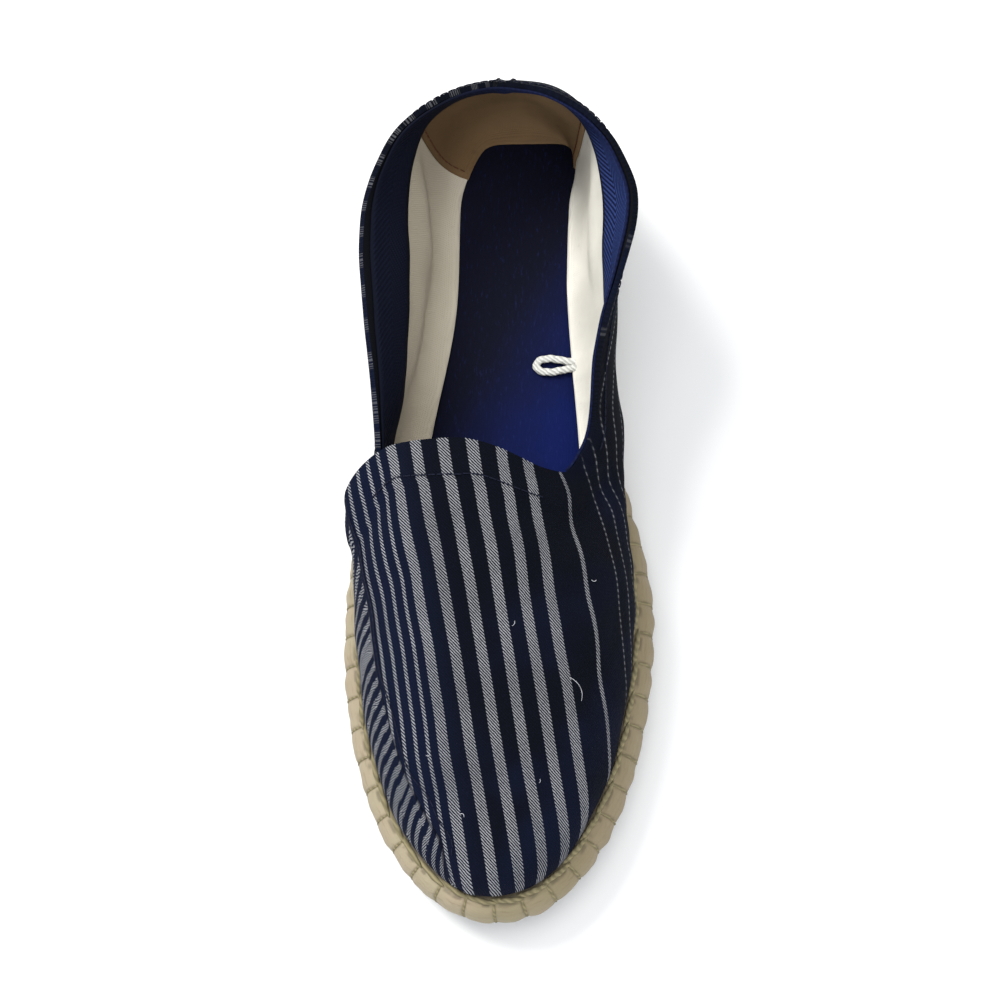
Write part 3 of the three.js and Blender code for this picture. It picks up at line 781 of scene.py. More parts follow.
def from_middle(place):
    """A point on the shoe's line, and the level way from it out to a place on the collar."""
    middle = np.array([SHOE_LINE, min(place[1], HEEL_CENTRE), 0.0])
    return middle, unit(np.array([place[0] - middle[0], place[1] - middle[1], 0.0]))


def seam_height(y):
    """The height, along the shoe, of the seam that joins the vamp to the outer quarter."""
    height = 45.5 + 0.155 * (y + 15) - 0.03 * np.maximum(0, -105 - y) ** 2
    return height + 3 * np.maximum(0, y + 3)


# Soft folds of the canvas. along is a share of the sole's length from the toe tip, across of the ball's
# width from the shoe's line, depth, width and run are in millimetres, and turn is in degrees from straight
# across.
FOLDS = table(
    "along across turn run width depth",
    (0.405, 0.1, 8, 26, 7, -0.7),
    (0.335, 0.04, -6, 30, 8, -0.9),
    (0.36, -0.22, 38, 18, 5, -0.6),
    (0.27, 0.22, -35, 20, 6, -0.8),
    (0.3, 0.3, 62, 22, 5, 0.7),
    (0.215, -0.05, 15, 24, 7, -0.7),
    (0.44, 0.3, 60, 20, 4.5, -1.0),
    (0.47, 0.2, 40, 14, 4, 0.6),
    (0.43, -0.38, 70, 16, 4.5, -0.8),
    (0.14, 0.12, -25, 16, 5, -0.5),
    (0.13, -0.12, 25, 16, 5, -0.5))
# Slack wrinkles of the quarters, seen from the side: along as above, and rise a height over the floor.
WRINKLES = table(
    "along rise turn run width depth",
    (0.93, 42, 70, 16, 4.5, -0.9),
    (0.86, 36, 58, 20, 5, 0.8),
    (0.78, 38, 25, 22, 5, -0.9),
    (0.66, 34, 12, 26, 4.5, -0.8),
    (0.58, 30, -16, 22, 4.5, 0.7))


def fold_lift(points):
    """How far the folds move the canvas outward."""
    x, y, z = points.T
    lift = np.zeros(len(points))
    ball = CAD_HIGH.x / MM * 2

    def trough(p, q, fold):
        turn = math.radians(fold["turn"])
        run = p * math.cos(turn) + q * math.sin(turn)
        off = q * math.cos(turn) - p * math.sin(turn)
        return fold["depth"] * np.exp(-((run / fold["run"]) ** 2) - (off / fold["width"]) ** 2)

    over = smooth(z, SOLE_TOP + 6, SOLE_TOP + 18)
    for fold in FOLDS:
        p = x - SHOE_LINE - fold["across"] * ball
        q = y - (TOE_END + fold["along"] * LENGTH)
        lift += trough(p, q, fold) * over
    behind = smooth(y, -5, 15) * smooth(z, SOLE_TOP, SOLE_TOP + 8)
    for k, fold in enumerate(WRINKLES):
        q = z - fold["rise"]
        for side in (-1, 1):
            p = y - (TOE_END + (fold["along"] + 0.012 * side * (k % 2)) * LENGTH)
            lift += trough(p, q, fold) * behind * smooth(side * x, 0, 12)
    return lift


def cloth_maps(points, ridge_x, ridge_z):
    """The canvas's own coordinates at each point, in millimetres: across its stripes and along them."""
    x, y, z = points.T
    top_x = np.interp(y, ridge_x[0], ridge_x[1])
    top_z = np.interp(y, ridge_z[0], ridge_z[1])
    away = x - top_x
    fall = np.maximum(0, top_z - z) * smooth(np.abs(away), 2, 16)
    from_ridge = np.sign(away) * np.sqrt(away ** 2 + fall ** 2)
    middle = 2.0 - 0.18 * (y + 39)  # where the fourth wide stripe runs
    gather = 0.98 + 0.055 * smooth(-y, 62, 18)
    across = (from_ridge + top_x - middle) / gather
    # Behind the throat the stripes of the inner quarter run level with the sole's edge.
    level = 68.0 - 0.75 * (z - SOLE_TOP)
    inner = (x > 0) * np.maximum(smooth(x, 12, 26), smooth(y, 2, 14))
    across = across + (level - across) * smooth(y, -16, 14) * inner
    return across + 0.5 * noise_at(points, 0.035), y * 1.02


def side_maps(points, rise):
    """The outer quarter's own coordinates, slanting up toward the heel: across and along its stripes."""
    samples = 800
    tilt_behind, tilt_ahead = 36, 58  # how steep the stripes stand behind the throat and in front of it
    outline = np.array([outline_at(2 * k / samples, 0)[0] for k in range(samples)])
    steps = np.linalg.norm(np.diff(outline, axis=0, append=outline[:1]), axis=1)
    walked = np.cumsum(steps[::-1])[::-1]
    tree = points_tree([(x, y, 0) for x, y, _ in outline])
    forward = np.array([walked[tree.find((x, y, 0))[1]] for x, y, _ in points])
    forward = np.where(points[:, 0] < 0, forward, 0)
    outer = np.where(outline[:, 0] < 0, 0, 1e3)
    behind, ahead = (walked[np.argmin(np.abs(outline[:, 1] - y) + outer)] for y in (-5, -50))
    way = np.linspace(0, walked.max(), 600)
    tilts = np.radians(tilt_behind + (tilt_ahead - tilt_behind) * smooth(way, behind, ahead))
    step = way[1]
    crossed, followed = (np.cumsum(part) * step for part in (np.sin(tilts), np.cos(tilts)))
    tilt = np.interp(forward, way, tilts)
    side = rise * np.cos(tilt) + np.interp(forward, way, crossed)
    return side, np.interp(forward, way, followed) - rise * np.sin(tilt)


def rings_of(mesh):
    """The collar's and the foot's edges of the upper's sheet, as paths."""
    points = positions(mesh)
    loops = sorted(boundary_loops(mesh), key=lambda loop: -points[loop][:, 2].mean())
    return [points[loop] for loop in loops[:2]]


def split_collar(collar):
    """The collar's edge in two: from the inner notch round the heel to the outer, and the tab's."""
    x, y, z = collar.T
    throat = y < 5
    inner = int(np.argmin(np.where(throat & (x > 12), z, 1e9)))
    outer = int(np.argmin(np.where(throat & (x < -22), z, 1e9)))
    ring = np.roll(collar, -inner, axis=0)
    cut = (outer - inner) % len(collar)
    one, two = ring[:cut + 1], np.vstack([ring[cut:], ring[:1]])
    back, tab = (one, two[::-1]) if one[:, 1].max() > two[:, 1].max() else (two[::-1], one)
    return back, tab


class Shell:
    """What the other pieces need to know of the finished canvas and of the wrapped edge."""

    tree = None
    wrap_tree = None
    back_edge = None
    tab_edge = None

    @classmethod
    def hit(cls, origin, direction):
        """The first point of the canvas from a place in a direction, and its outward way there."""
        place, normal, _, _ = cls.tree.ray_cast(Vector(origin), Vector(direction).normalized())
        return None if place is None else (np.array(place), np.array(normal))


def ridge(points):
    """The highest line of the vamp, as (y, x) and (y, z), smoothed."""
    steps = np.arange(TOE_END + 14, -8, 4.0)
    highest = []
    for step in steps:
        near = points[np.abs(points[:, 1] - step) < 3.0]
        highest.append(near[np.argmax(near[:, 2])])
    highest = np.array(highest)
    return [(steps, np.polyval(np.polyfit(steps, highest[:, axis], degree), steps))
            for axis, degree in ((0, 2), (2, 3))]


def canvas_lift(points, from_tab, from_back, from_foot, seam):
    """How far the canvas stands off its solid: folds, hem, lap, heel seam, pucker and slack."""
    x, y = points.T[:2]
    hem = bpy.context.scene.espadrille_cloth.hem / MM
    in_hem = (1 - smooth(from_tab, hem - 1.0, hem + 0.6)) * (from_tab < from_back + 2)
    hem_step, lap_step, heel_groove, pucker_depth = 0.38, 0.45, 0.5, 0.4
    lift = 1.6 * fold_lift(points) * (1 - bump_at(from_tab, 0, 6))
    lift += hem_step * in_hem
    lap = smooth(-seam, -0.8, 0.8) * (1 - smooth(-seam, 3, 9))
    lift += lap_step * lap * smooth(-x, 2, 6) * smooth(-y, 4, 16)
    lift -= heel_groove * bump_at(x, SHOE_LINE, 1.3) * smooth(y, 60, 80)
    shares = np.arctan2(x, y)
    pucker = np.sin(shares * CELLS_PER_SIDE + 0.9 * np.sin(shares * 3))
    lift += pucker_depth * pucker * np.exp(-from_foot / 7.0)
    for scale, size in ((0.045, 0.5), (0.11, 0.22)):
        lift += size * noise_at(points, scale) * smooth(from_foot, 2, 10)
    # The foot stays on its feather line, and tucks in behind the cord.
    return lift * smooth(from_foot, 0, 3), in_hem


def canvas_upper():
    cloth = bpy.context.scene.espadrille_cloth
    body = merged("upper")
    outer = smooth_parts(body, math.radians(58))[0]
    sheet = object_of("canvas_upper", sheet_mesh("canvas_upper", outer))
    body.free()
    rounder = sheet.modifiers.new("rounder", "SUBSURF")
    rounder.levels = rounder.render_levels = 2
    rounder.boundary_smooth = "PRESERVE_CORNERS"
    settled(sheet)
    mesh = sheet.data
    points = positions(mesh)
    collar, foot = rings_of(mesh)
    Shell.back_edge, Shell.tab_edge = split_collar(collar)
    from_tab, from_back, from_foot = (
        distances(points, path) for path in (Shell.tab_edge, Shell.back_edge, np.vstack([foot, foot[:1]])))
    seam = np.where(points[:, 0] < 0, seam_height(points[:, 1]) - points[:, 2], -20.0)
    across, along = cloth_maps(points, *ridge(points))
    side, run = side_maps(points, from_foot)
    lift, in_hem = canvas_lift(points, from_tab, from_back, from_foot, seam)
    move_points(mesh, points + normals_of(mesh) * lift[:, None])
    for name, values in (("across", across + 0.4 * in_hem), ("along", along), ("side_across", side),
                         ("seam", seam), ("rim", from_back), ("side_along", run)):
        put_attribute(mesh, name, values)
    mesh.materials.append(canvas_material())
    mesh.materials.append(plain_canvas_material("inner lining", display_colour(226, 219, 202),
                                                display_colour(204, 192, 168), edge=cloth.navy))
    wall = sheet.modifiers.new("wall", "SOLIDIFY")
    wall.thickness = cloth.wall
    wall.offset = -1
    wall.material_offset = 1
    wall.use_quality_normals = True
    edge = sheet.modifiers.new("edge", "BEVEL")
    edge.width = 0.5 * MM
    edge.segments = 2
    edge.angle_limit = math.radians(55)
    settled(sheet)
    sheet.data.polygons.foreach_set("use_smooth", [True] * len(sheet.data.polygons))
    Shell.tree = faces_tree(sheet.data)
    ride(sheet, "striped_canvas", "upper")


# Inside the collar

def inner_profiles(count):
    """The inner wall at equal steps round the collar from the inner notch, a point for each millimetre."""
    profiles = []
    for top in resampled(Shell.back_edge, count=count)[0]:
        middle, way = from_middle(top)
        hits = [Shell.hit((middle[0], middle[1], z), way)
                for z in np.arange(top[2] - 0.7, SOLE_TOP + 2.0, -1.0)]
        profiles.append((np.array([hit[0] - way * 0.35 for hit in hits if hit]), way, middle))
    return profiles


def along_line(line, depth):
    """The point of a wall's profile at a walked depth below the collar."""
    return at_walk(depth, walked_along(line), line)


def twill_tape(profiles):
    width = bpy.context.scene.espadrille_inside.tape_width / MM
    rows = []
    for i, (line, way, _) in enumerate(profiles):
        end = min(i, len(profiles) - 1 - i) / len(profiles)
        reach = width * (0.72 + 0.28 * smooth(end, 0.0, 0.12))
        rows.append([along_line(line, reach * k / 8) - way * (0.3 + 1.2 * smooth(k, 2, 8))
                     for k in range(9)])
    tape = thickened("collar_twill", strip_mesh("collar_twill", rows), 0.7, herringbone_material())
    ride(tape, "twill_tape", "collar_tape")


def sock_edge(middle, way):
    """How far the bare sock reaches from the shoe's middle in a way, to where the lining ends on it."""
    inside = bpy.context.scene.espadrille_inside
    heel, waist = inside.sock_heel / MM, inside.sock_waist / MM
    if middle[1] < HEEL_CENTRE:
        return heel + (waist - heel) * smooth(HEEL_CENTRE - middle[1], 0, 70)
    blunt, end = 7.0, 46.0  # how square the heel end of the bare sock is, and how far it reaches
    return 1 / ((abs(way[0]) / heel) ** blunt + (abs(way[1]) / end) ** blunt) ** (1 / blunt)


def lining_rows(profiles, lift, top_depth):
    """Rows of points from a depth below the collar down the inner wall to the sock, lift off the wall."""
    steps = 18
    rows = []
    for line, way, middle in profiles:
        start, foot = along_line(line, top_depth), line[-1]
        low = np.array([*(middle + way * sock_edge(middle, way))[:2], SOCK_TOP + 0.35])
        low[0] += 1.4 * smooth(middle[1], 0, 50) + 3.8 * smooth(low[1], 84, 106)
        corner = np.array([foot[0], foot[1], SOCK_TOP + 1.2])
        points = [start, start * 0.35 + foot * 0.65, corner - way * 1.5, low]
        row = []
        for k in range(steps + 1):
            t = k / steps
            weights = ((1 - t) ** 3, 3 * t * (1 - t) ** 2, 3 * t * t * (1 - t), t ** 3)
            place = sum(w * p for w, p in zip(weights, points)) - way * lift * smooth(t, 0.0, 0.22)
            wall = np.interp(place[2], line[::-1, 2], (line[::-1] - middle) @ way) - 0.35 - lift
            row.append(place - way * max(0.0, (place - middle) @ way - wall))
        rows.append(row)
    return np.array(rows)


def canvas_lining(profiles):
    inside = bpy.context.scene.espadrille_inside
    rows = lining_rows(profiles, 0.35, inside.tape_width / MM - 1.6)
    mesh = strip_mesh("canvas_lining", rows)
    points = positions(mesh)
    down = np.tile(np.linspace(0, 1, rows.shape[1]), len(rows))
    slack = noise_at(points, 0.07) * 0.6 * smooth(down, 0.2, 0.6)
    move_points(mesh, points + normals_of(mesh) * slack[:, None])
    finish = plain_canvas_material("natural canvas", inside.lining, darker(inside.lining, 0.82))
    ride(thickened("canvas_lining", mesh, 0.5, finish), "striped_canvas")


def heel_patch(profiles):
    """The patch over the lining at the heel, and its stitches. Its ends slant forward to the sock."""
    inside = bpy.context.scene.espadrille_inside
    rows = lining_rows(profiles, 0.95, inside.tape_width / MM - 2.4)
    count, depth = rows.shape[:2]
    middle = (count - 1) / 2 - count * 0.014
    half = count * 0.089
    slant = 0.32
    over_lining = np.array([0, 0, 0.5])
    steps = 28
    picked = []
    for i in range(steps + 1):
        row = []
        for k in range(depth):
            at = middle + (2 * i / steps - 1) * (half * (1 - slant * (k / (depth - 1))))
            low = int(at)
            part = at - low
            row.append(rows[low][k] * (1 - part) + rows[low + 1][k] * part + over_lining)
        picked.append(row)
    finish = plain_canvas_material("heel patch canvas", inside.patch, darker(inside.patch, 0.7), 1100.0)
    ride(thickened("heel_patch", strip_mesh("heel_patch", picked), 0.5, finish), "striped_canvas")
    places, lies, outs = [], [], []
    for row in (picked[1], picked[-2]):
        dots, _ = resampled(row[1:-2], spacing=2.6)
        inward = np.array([SHOE_LINE, HEEL_CENTRE, SOLE_TOP + 30]) - dots
        inward /= np.linalg.norm(inward, axis=1, keepdims=True)
        places.extend(dots + inward * 0.35)
        lies.extend(path_frames(dots))
        outs.extend(inward)
    thread = cord_material("patch thread", display_colour(92, 52, 34))
    ride(stitch_piece("patch_stitches", places, lies, outs, (1.9, 0.17), thread), "striped_canvas")


def insole_sock():
    body = merged("insole")
    mesh = bpy.data.meshes.new("insole_sock")
    body.to_mesh(mesh)
    body.free()
    sock = object_of("insole_sock", mesh)
    rounder = sock.modifiers.new("rounder", "SUBSURF")
    rounder.subdivision_type = "SIMPLE"
    rounder.levels = rounder.render_levels = 3
    settled(sock)
    points = positions(sock.data)
    wave = noise_at(points, 0.035) + 0.4 * noise_at(points, 0.12)
    top = points[:, 2] > points[:, 2].min() + 1.0
    points[:, 2] += np.where(top, wave * 0.25 - 0.1, 0)
    move_points(sock.data, points)
    sock.data.materials.clear()
    sock.data.materials.append(sock_material())
    sock.data.polygons.foreach_set("use_smooth", [True] * len(sock.data.polygons))
    ride(sock, "insole_sock", "insole")


def cord_faces(count, sides):
    """The faces of a closed cord from its rings of points."""
    faces = [[i + k, i + sides + k, i + sides + (k + 1) % sides, i + (k + 1) % sides]
             for i in range(0, (count - 1) * sides, sides) for k in range(sides)]
    ends = [list(range(sides)), [(count - 1) * sides + k for k in reversed(range(sides))]]
    return faces + ends


# The hanging loop's route on the sock, in millimetres from its root at the inner wall.
LOOP_ROUTE = [(0.8, 0.7), (-3.0, 1.3), (-7.0, 2.1), (-10.4, 1.8), (-11.8, 0.0), (-10.4, -1.8), (-7.0, -2.2),
              (-3.0, -1.4), (0.8, -0.8)]


def hanging_loop():
    low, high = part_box("hanging_loop")
    root = np.array([high.x / MM - 0.8, (low.y + high.y) / 2 / MM, low.z / MM + 0.95])
    route = [root + np.array([x, y, 0.25 * math.sin(k)]) for k, (x, y) in enumerate(LOOP_ROUTE)]
    curve, _ = resampled(route, count=70)
    for _ in range(8):
        curve[1:-1] = (curve[:-2] + 2 * curve[1:-1] + curve[2:]) / 4
    radius, wide, high, sides = 1.12, 0.98, 0.72, 16
    points = []
    for i, (place, ahead) in enumerate(zip(curve, path_frames(curve))):
        level = np.cross([0, 0, 1.0], ahead) * wide
        for k in range(sides):
            angle = 2 * math.pi * k / sides
            strand = radius + 0.09 * math.cos(3 * angle + i * 0.8)
            over = np.array([0, 0, high]) * math.sin(angle)
            points.append(place + strand * (level * math.cos(angle) + over))
    finish = cord_material("loop cord", bpy.context.scene.espadrille_inside.loop, 0.9)
    loop = piece_of("hanging_cord", points, cord_faces(len(curve), sides), finish)
    ride(loop, "loop_cord", "hanging_loop")


# The sole

# The wrapped edge's section: a share of its height, how far in from its widest line in millimetres, and how
# strongly the stitches pull it in there.
EDGE_SECTION = table(
    "rise inset pull",
    (0.0, 9.0, 0.0),
    (0.0, 4.0, 0.0),
    (0.02, 2.9, 0.2),
    (0.1, 1.6, 0.5),
    (0.22, 0.8, 0.8),
    (0.36, 0.3, 1.0),
    (0.5, 0.1, 1.0),
    (0.64, 0.2, 1.0),
    (0.77, 0.7, 1.0),
    (0.88, 1.6, 1.0),
    (0.95, 2.7, 0.8),
    (0.99, 4.0, 0.35),
    (1.0, 5.6, 0.0),
    (1.0, 9.0, 0.0))


def sole_wrap():
    """The cloth round the sole's edge, in soft cells between the stitches."""
    solid = merged("midsole")
    tree = BVHTree.FromBMesh(solid)
    solid.free()
    rng = np.random.default_rng(5)
    cells = 2 * CELLS_PER_SIDE
    steps, samples = 16, 30  # points along each cell, and round the section
    slant = rng.uniform(-0.05, 0.05, cells)
    swell = rng.uniform(0.15, 0.45, cells)
    depth = rng.uniform(0.55, 1.0, cells)
    spread = np.linspace(0, len(EDGE_SECTION) - 1, samples)
    rise, drawn_in, pull = (np.interp(spread, range(len(EDGE_SECTION)), [row[key] for row in EDGE_SECTION])
                            for key in ("rise", "inset", "pull"))
    inmost = EDGE_SECTION[0]["inset"]
    way_round = 1.15 * LENGTH  # half of the way round the edge
    points, faces, along, height, groove_shades, slit_shadows = [], [], [], [], [], []
    for i in range(cells * steps):
        share = 2 * i / (cells * steps)
        middle, outward = outline_at(share, inmost)
        low, top = (tree.ray_cast(Vector((middle[0], middle[1], z)) * MM, Vector((0, 0, way)))[0].z / MM
                    for z, way in ((-20, 1), (60, -1)))
        # Where the painted shadow of the slit shows, in random dashes along the edge.
        dash_shown = smooth(noise.noise(Vector((i * 0.11, 3.0, 2.0))), -0.15, 0.1)
        for k in range(samples):
            cell = i / steps + slant[round(i / steps) % cells] * (rise[k] - 0.5)
            near = cell - round(cell)
            groove = math.exp(-(near / 0.05) ** 2) * depth[round(cell) % cells]
            soft = swell[int(cell) % cells] * math.sin(math.pi * abs(near)) ** 1.5
            crease = noise.noise(Vector((i * 0.16, rise[k] * 2.6, 7.0)))
            inset = drawn_in[k] + (0.55 * groove - soft - 0.4 * crease + 0.25) * pull[k]
            place = middle + outward * (inmost - inset)
            points.append((place[0], place[1], low + (top - low) * rise[k]))
            along.append(share * way_round)
            height.append((top - low) * rise[k])
            # How much painted shade darkens the groove here.
            groove_shades.append(groove * min(1.0, 1.4 * pull[k]))
            # Painted shadow: dashes where the cloth turns in, solid dark beyond the turn.
            slit = math.exp(-((drawn_in[k] - 4.0) / 0.4) ** 2) * smooth(abs(near), 0.1, 0.2) * dash_shown
            slit_shadows.append(max(slit, smooth(drawn_in[k], 5.2, 6.2)))
            j, n = (k + 1) % samples, (i + 1) % (cells * steps)
            faces.append([i * samples + j, n * samples + j, n * samples + k, i * samples + k])
    mesh = mesh_of("sole_wrap", points, faces)
    for name, values in (("along", along), ("height", height), ("groove", groove_shades), ("slit", slit_shadows)):
        put_attribute(mesh, name, values)
    Shell.wrap_tree = faces_tree(mesh)
    ride(object_of("sole_wrap", mesh, wrap_material()), "edge_wrap", "midsole")


def wrap_top(point):
    """The height of the wrapped edge under a point."""
    place = Shell.wrap_tree.ray_cast(Vector((point[0], point[1], 60)), Vector((0, 0, -1)))[0]
    return place.z if place else SOLE_TOP


def twisted_cord(path, radius, taper=0.25, turns=0.5, sides=10):
    """The points and faces of a two-strand cord along a path that narrows at its ends."""
    count = len(path)
    points = []
    for i, (place, ahead) in enumerate(zip(path, path_frames(path))):
        end = min(i, count - 1 - i) / (count - 1)
        size = radius * (taper + (1 - taper) * math.sin(min(1, end * 3.2) * math.pi / 2))
        level = np.cross([0, 0, 1.0], ahead)
        level /= max(np.linalg.norm(level), 1e-9)
        over = np.cross(ahead, level)
        for k in range(sides):
            angle = 2 * math.pi * k / sides
            strand = 1 + 0.13 * math.cos(2 * (angle + turns * i))
            points.append(place + size * strand * (level * math.cos(angle) + over * math.sin(angle)))
    return points, cord_faces(count, sides)


def cords_piece(name, cords, finish):
    """One piece from the points and faces of many cords."""
    points, faces = [], []
    for more, cover in cords:
        faces.extend([[i + len(points) for i in face] for face in cover])
        points.extend(more)
    return piece_of(name, points, faces, finish)


def blanket_stitches():
    """The cord along the top of the edge, a slanting length from stitch to stitch, and the stitches."""
    sole = bpy.context.scene.espadrille_sole
    radius = sole.cord_width / MM / 2
    rng = np.random.default_rng(11)
    cords = []
    for cell in range(sole.cells):
        path = []
        wander = rng.uniform(-0.25, 0.25)
        for k in range(13):
            t = k / 12
            place = outline_at((cell - 0.1 + 1.22 * t) * 2 / sole.cells, 4.5 + wander + t)[0]
            rise = radius * (0.42 + 0.3 * math.sin(math.pi * t))
            path.append([place[0], place[1], wrap_top(place) + rise])
        cords.append(twisted_cord(np.array(path), radius, turns=0.62))
    # At each stitch the cord also runs over the edge, down to the outsole.
    for cell in range(sole.cells):
        inside, outward = outline_at(cell * 2 / sole.cells, 6.5)
        path = []
        for angle in np.linspace(math.radians(76), math.radians(-58), 15):
            way = outward * math.cos(angle) + np.array([0, 0, math.sin(angle)])
            hit = Shell.wrap_tree.ray_cast(Vector(inside + np.array([0, 0, 7.5])), Vector(way))[0]
            path.append(np.array(hit) + way * 0.05)
        cords.append(twisted_cord(resampled(path, count=24)[0], 0.46, taper=0.6, turns=0.55, sides=8))
    ride(cords_piece("edge_cord", cords, cord_material("blanket stitch cord", sole.cord, 1.3)), "edge_wrap")


# Seams on the canvas

def outside_point(origin, direction, lift=0.12):
    """A point just outside the canvas, found from a place in a direction, and its outward way."""
    found = Shell.hit(origin, direction)
    if found is None:
        return None
    place, normal = found
    if np.dot(normal, direction) > 0:
        normal = -normal
    return place + normal * lift, normal


def seam_paths():
    """Rows of stitches on the canvas: each a list of (place, outward way)."""
    hem = bpy.context.scene.espadrille_cloth.hem / MM
    edge, _ = resampled(Shell.tab_edge, spacing=1.2)
    way = path_frames(edge)
    ahead = np.stack([way[:, 1], -way[:, 0], np.zeros(len(way))], axis=1)
    ahead *= np.where(ahead[:, 1:2] > 0, -1.0, 1.0)
    tab = [outside_point((x, y, 90), (0, 0, -1)) for x, y, _ in (edge + ahead * (hem - 1.0))[7:-7]]
    lap = [outside_point((-80, y, seam_height(y) + 1.5), (1, 0, 0)) for y in np.arange(-22, -112, -1.5)]
    heel = [[outside_point((SHOE_LINE + side * 2.2, 160, z), (0, -1, 0)) for z in np.arange(23, 66, 1.5)]
            for side in (-1, 1)]
    collar = []
    for place in resampled(Shell.back_edge, spacing=1.5)[0][6:-6]:
        middle, out = from_middle(place)
        start = middle + out * 90
        collar.append(outside_point((start[0], start[1], place[2] - 3.2), -out))
    return [[p for p in path if p] for path in (tab, lap, *heel, collar)]


def canvas_stitches():
    places, lies, outs = [], [], []
    for path in seam_paths():
        dots, normals = (np.array(part) for part in zip(*path))
        steps, walked = resampled(dots, spacing=2.4)
        places.extend(steps)
        lies.extend(path_frames(steps))
        outs.extend(unit(normal) for normal in at_walk(walked, walked_along(dots), normals))
    thread = cord_material("navy thread", display_colour(20, 24, 44), 1.0)
    ride(stitch_piece("canvas_stitches", places, lies, outs, (2.0, 0.2), thread, 0.25), "striped_canvas")


# Loose threads and lint that cling to the canvas: a place, a length, a bend, and a turn in degrees.
LINT = table(
    "x y run bend turn",
    (24.5, -67, 6.5, 1.4, 118),
    (-16.0, -86, 1.2, 0.5, 20),
    (7.0, -52, 1.6, 0.3, 65),
    (-6.5, -101, 1.4, 0.5, 140),
    (28.0, -38, 1.3, 0.4, 10),
    (14.0, -92, 1.0, 0.2, 80))


def lint_threads():
    cords = []
    for row in LINT:
        turn = math.radians(row["turn"])
        ahead = np.array([math.cos(turn), math.sin(turn), 0])
        beside = np.array([-ahead[1], ahead[0], 0])
        path = []
        for k in range(9):
            t = k / 8 - 0.5
            over = np.array([row["x"], row["y"], 90]) + ahead * row["run"] * t
            path.append(outside_point(over + beside * row["bend"] * (4 * t * t), (0, 0, -1), 0.18)[0])
        cords.append(twisted_cord(np.array(path), 0.08, taper=0.5, sides=6))
    ride(cords_piece("lint", cords, cord_material("lint", display_colour(205, 207, 212))), "striped_canvas")


# Stage

def build_camera():
    """The camera, where the photograph was taken from, turned until the shoe is in the middle."""
    stage = bpy.context.scene.espadrille_stage
    target = Vector((46.3, 3.4, 0)) * MM
    sensor, focal_pixels, frame_pixels = 36, 2187, 1000
    turn_pixels = (-161, 12)
    back = Vector((0, -math.cos(stage.elevation), math.sin(stage.elevation)))
    right = Vector((1, 0, 0))
    above = right.cross(-back)
    forward = -back + right * (turn_pixels[0] / focal_pixels) - above * (turn_pixels[1] / focal_pixels)
    forward.normalize()
    right = (right - forward * right.dot(forward)).normalized()
    above = right.cross(forward)
    data = bpy.data.cameras.new("camera")
    data.sensor_width = sensor
    data.lens = sensor * focal_pixels / frame_pixels
    data.clip_start, data.clip_end = 0.01, 10
    camera = object_of("camera", data)
    camera.rotation_mode = "QUATERNION"
    camera.rotation_quaternion = Matrix((right, above, -forward)).transposed().to_quaternion()
    camera.location = target + back * stage.distance
    bpy.context.scene.camera = camera


# Soft lights: where they stand and what they face, in metres, their size, share of the key's power and tint.
LIGHTS = table(
    "name at to size power tint",
    ("key", (-0.84, 0.66, 1.4), (0, 0.02, 0.03), 0.8, 3.4, (1.0, 0.985, 0.96)),
    ("front", (0.4, -1.1, 1.0), (0, -0.03, 0.02), 1.0, 0.9, (0.94, 0.97, 1.0)),
    ("top", (0.15, 0.0, 1.8), (0, 0, 0), 1.4, 1.5, (1.0, 1.0, 1.0)))


def build_stage():
    scene = bpy.context.scene
    build_camera()
    reach = 6.0 / MM
    corners = np.array([(-1, -1, 0), (1, -1, 0), (1, 1, 0), (-1, 1, 0)]) * reach
    finish = Finish("floor").done(scene.espadrille_stage.floor, 0.9, 0.1)
    object_of("floor", mesh_of("floor", corners, [[0, 1, 2, 3]]), finish)
    for row in LIGHTS:
        data = bpy.data.lights.new(row["name"], "AREA")
        data.shape = "DISK"
        data.size = row["size"]
        data.energy = scene.espadrille_stage.key * row["power"]
        data.color = row["tint"]
        light = object_of(row["name"], data)
        light.location = row["at"]
        light.rotation_mode = "QUATERNION"
        light.rotation_quaternion = (Vector(row["to"]) - Vector(row["at"])).to_track_quat("-Z", "Y")
    world = bpy.data.worlds.new("studio")
    world.use_nodes = True
    background = world.node_tree.nodes["Background"].inputs
    background["Color"].default_value = (0.93, 0.96, 1.0, 1.0)
    background["Strength"].default_value = 0.6
    scene.world = world
    scene.view_settings.view_transform = "Standard"


class ESPADRILLE_OT_upper(bpy.types.Operator):
    """Make the striped canvas upper."""

    bl_idname = "espadrille.upper"
    bl_label = "Canvas upper"

    def execute(self, context):
        canvas_upper()
        return {"FINISHED"}


class ESPADRILLE_OT_inside(bpy.types.Operator):
    """Make the sock, the lining, the heel patch, the collar's tape and the hanging loop."""

    bl_idname = "espadrille.inside"
    bl_label = "Inside"

    def execute(self, context):
        insole_sock()
        profiles = inner_profiles(161)
        twill_tape(profiles)
        canvas_lining(profiles)
        heel_patch(profiles)
        hanging_loop()
        return {"FINISHED"}


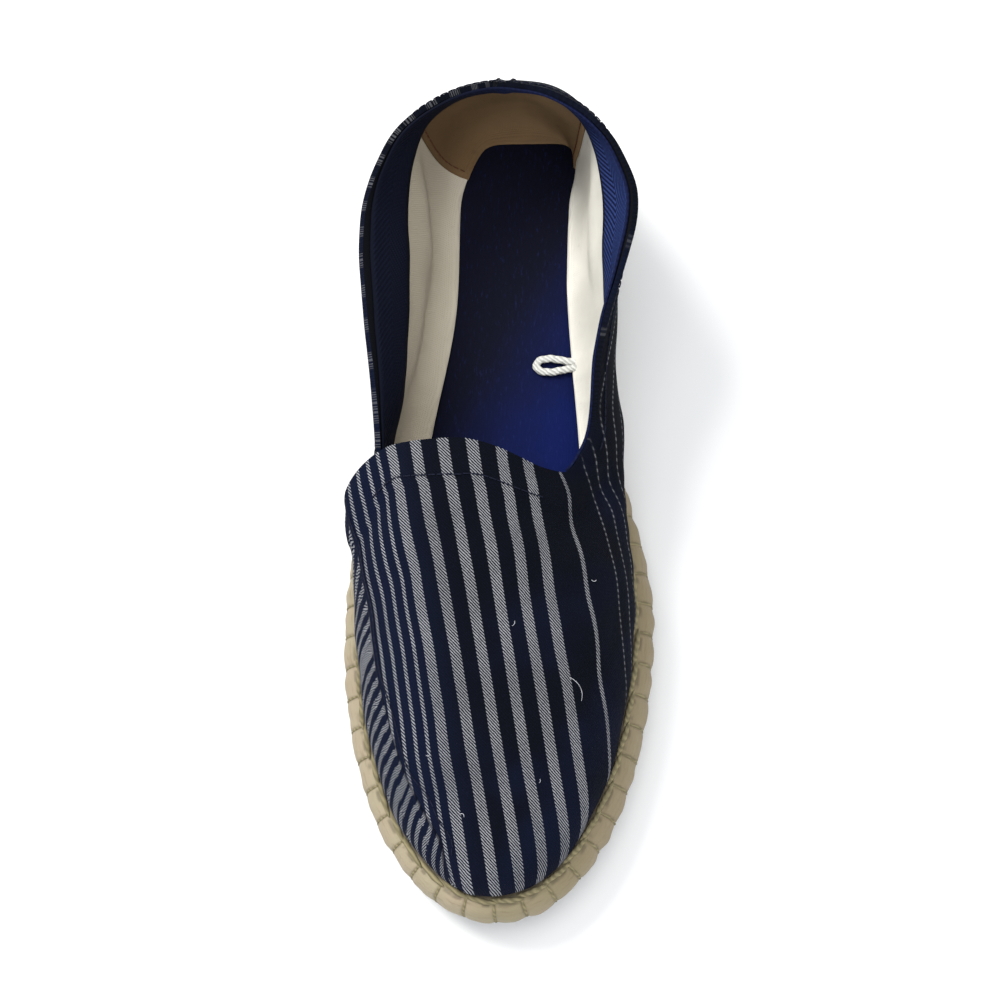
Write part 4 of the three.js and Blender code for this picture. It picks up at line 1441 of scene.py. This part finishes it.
class ESPADRILLE_OT_sole(bpy.types.Operator):
    """Make the wrapped edge with its blanket stitches, and finish the rubber."""

    bl_idname = "espadrille.sole"
    bl_label = "Sole"

    def execute(self, context):
        sole_wrap()
        blanket_stitches()
        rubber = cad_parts["outsole"]
        rubber.data.materials.clear()
        rubber.data.materials.append(rubber_material())
        return {"FINISHED"}


class ESPADRILLE_OT_seams(bpy.types.Operator):
    """Make the rows of stitches on the canvas and the lint that clings to it."""

    bl_idname = "espadrille.seams"
    bl_label = "Seams"

    def execute(self, context):
        canvas_stitches()
        lint_threads()
        return {"FINISHED"}


class ESPADRILLE_OT_stage(bpy.types.Operator):
    """Make the floor, the lights and the camera."""

    bl_idname = "espadrille.stage"
    bl_label = "Stage"

    def execute(self, context):
        build_stage()
        return {"FINISHED"}


STEPS = (ESPADRILLE_OT_stage, ESPADRILLE_OT_upper, ESPADRILLE_OT_sole, ESPADRILLE_OT_inside,
         ESPADRILLE_OT_seams)


class ESPADRILLE_PT_panel(bpy.types.Panel):
    """Lists the sizes and the steps."""

    bl_idname = "ESPADRILLE_PT_panel"
    bl_label = "Espadrille"
    bl_space_type = "VIEW_3D"
    bl_region_type = "UI"
    bl_category = "Espadrille"

    def draw(self, context):
        for name, kind in SETTINGS.items():
            box = self.layout.box()
            box.label(text=kind.__doc__)
            for key in kind.__annotations__:
                box.prop(getattr(context.scene, name), key)
        for step in STEPS:
            self.layout.operator(step.bl_idname)


def register():
    for kind in (*SETTINGS.values(), *STEPS, ESPADRILLE_PT_panel):
        bpy.utils.register_class(kind)
    for name, kind in SETTINGS.items():
        setattr(bpy.types.Scene, name, PointerProperty(type=kind))


def unregister():
    for name in SETTINGS:
        delattr(bpy.types.Scene, name)
    for kind in (ESPADRILLE_PT_panel, *reversed(STEPS), *reversed(SETTINGS.values())):
        bpy.utils.unregister_class(kind)


def main():
    register()
    for step in STEPS:
        package, name = step.bl_idname.split(".")
        getattr(getattr(bpy.ops, package), name)()


if __name__ == "__main__":
    main()
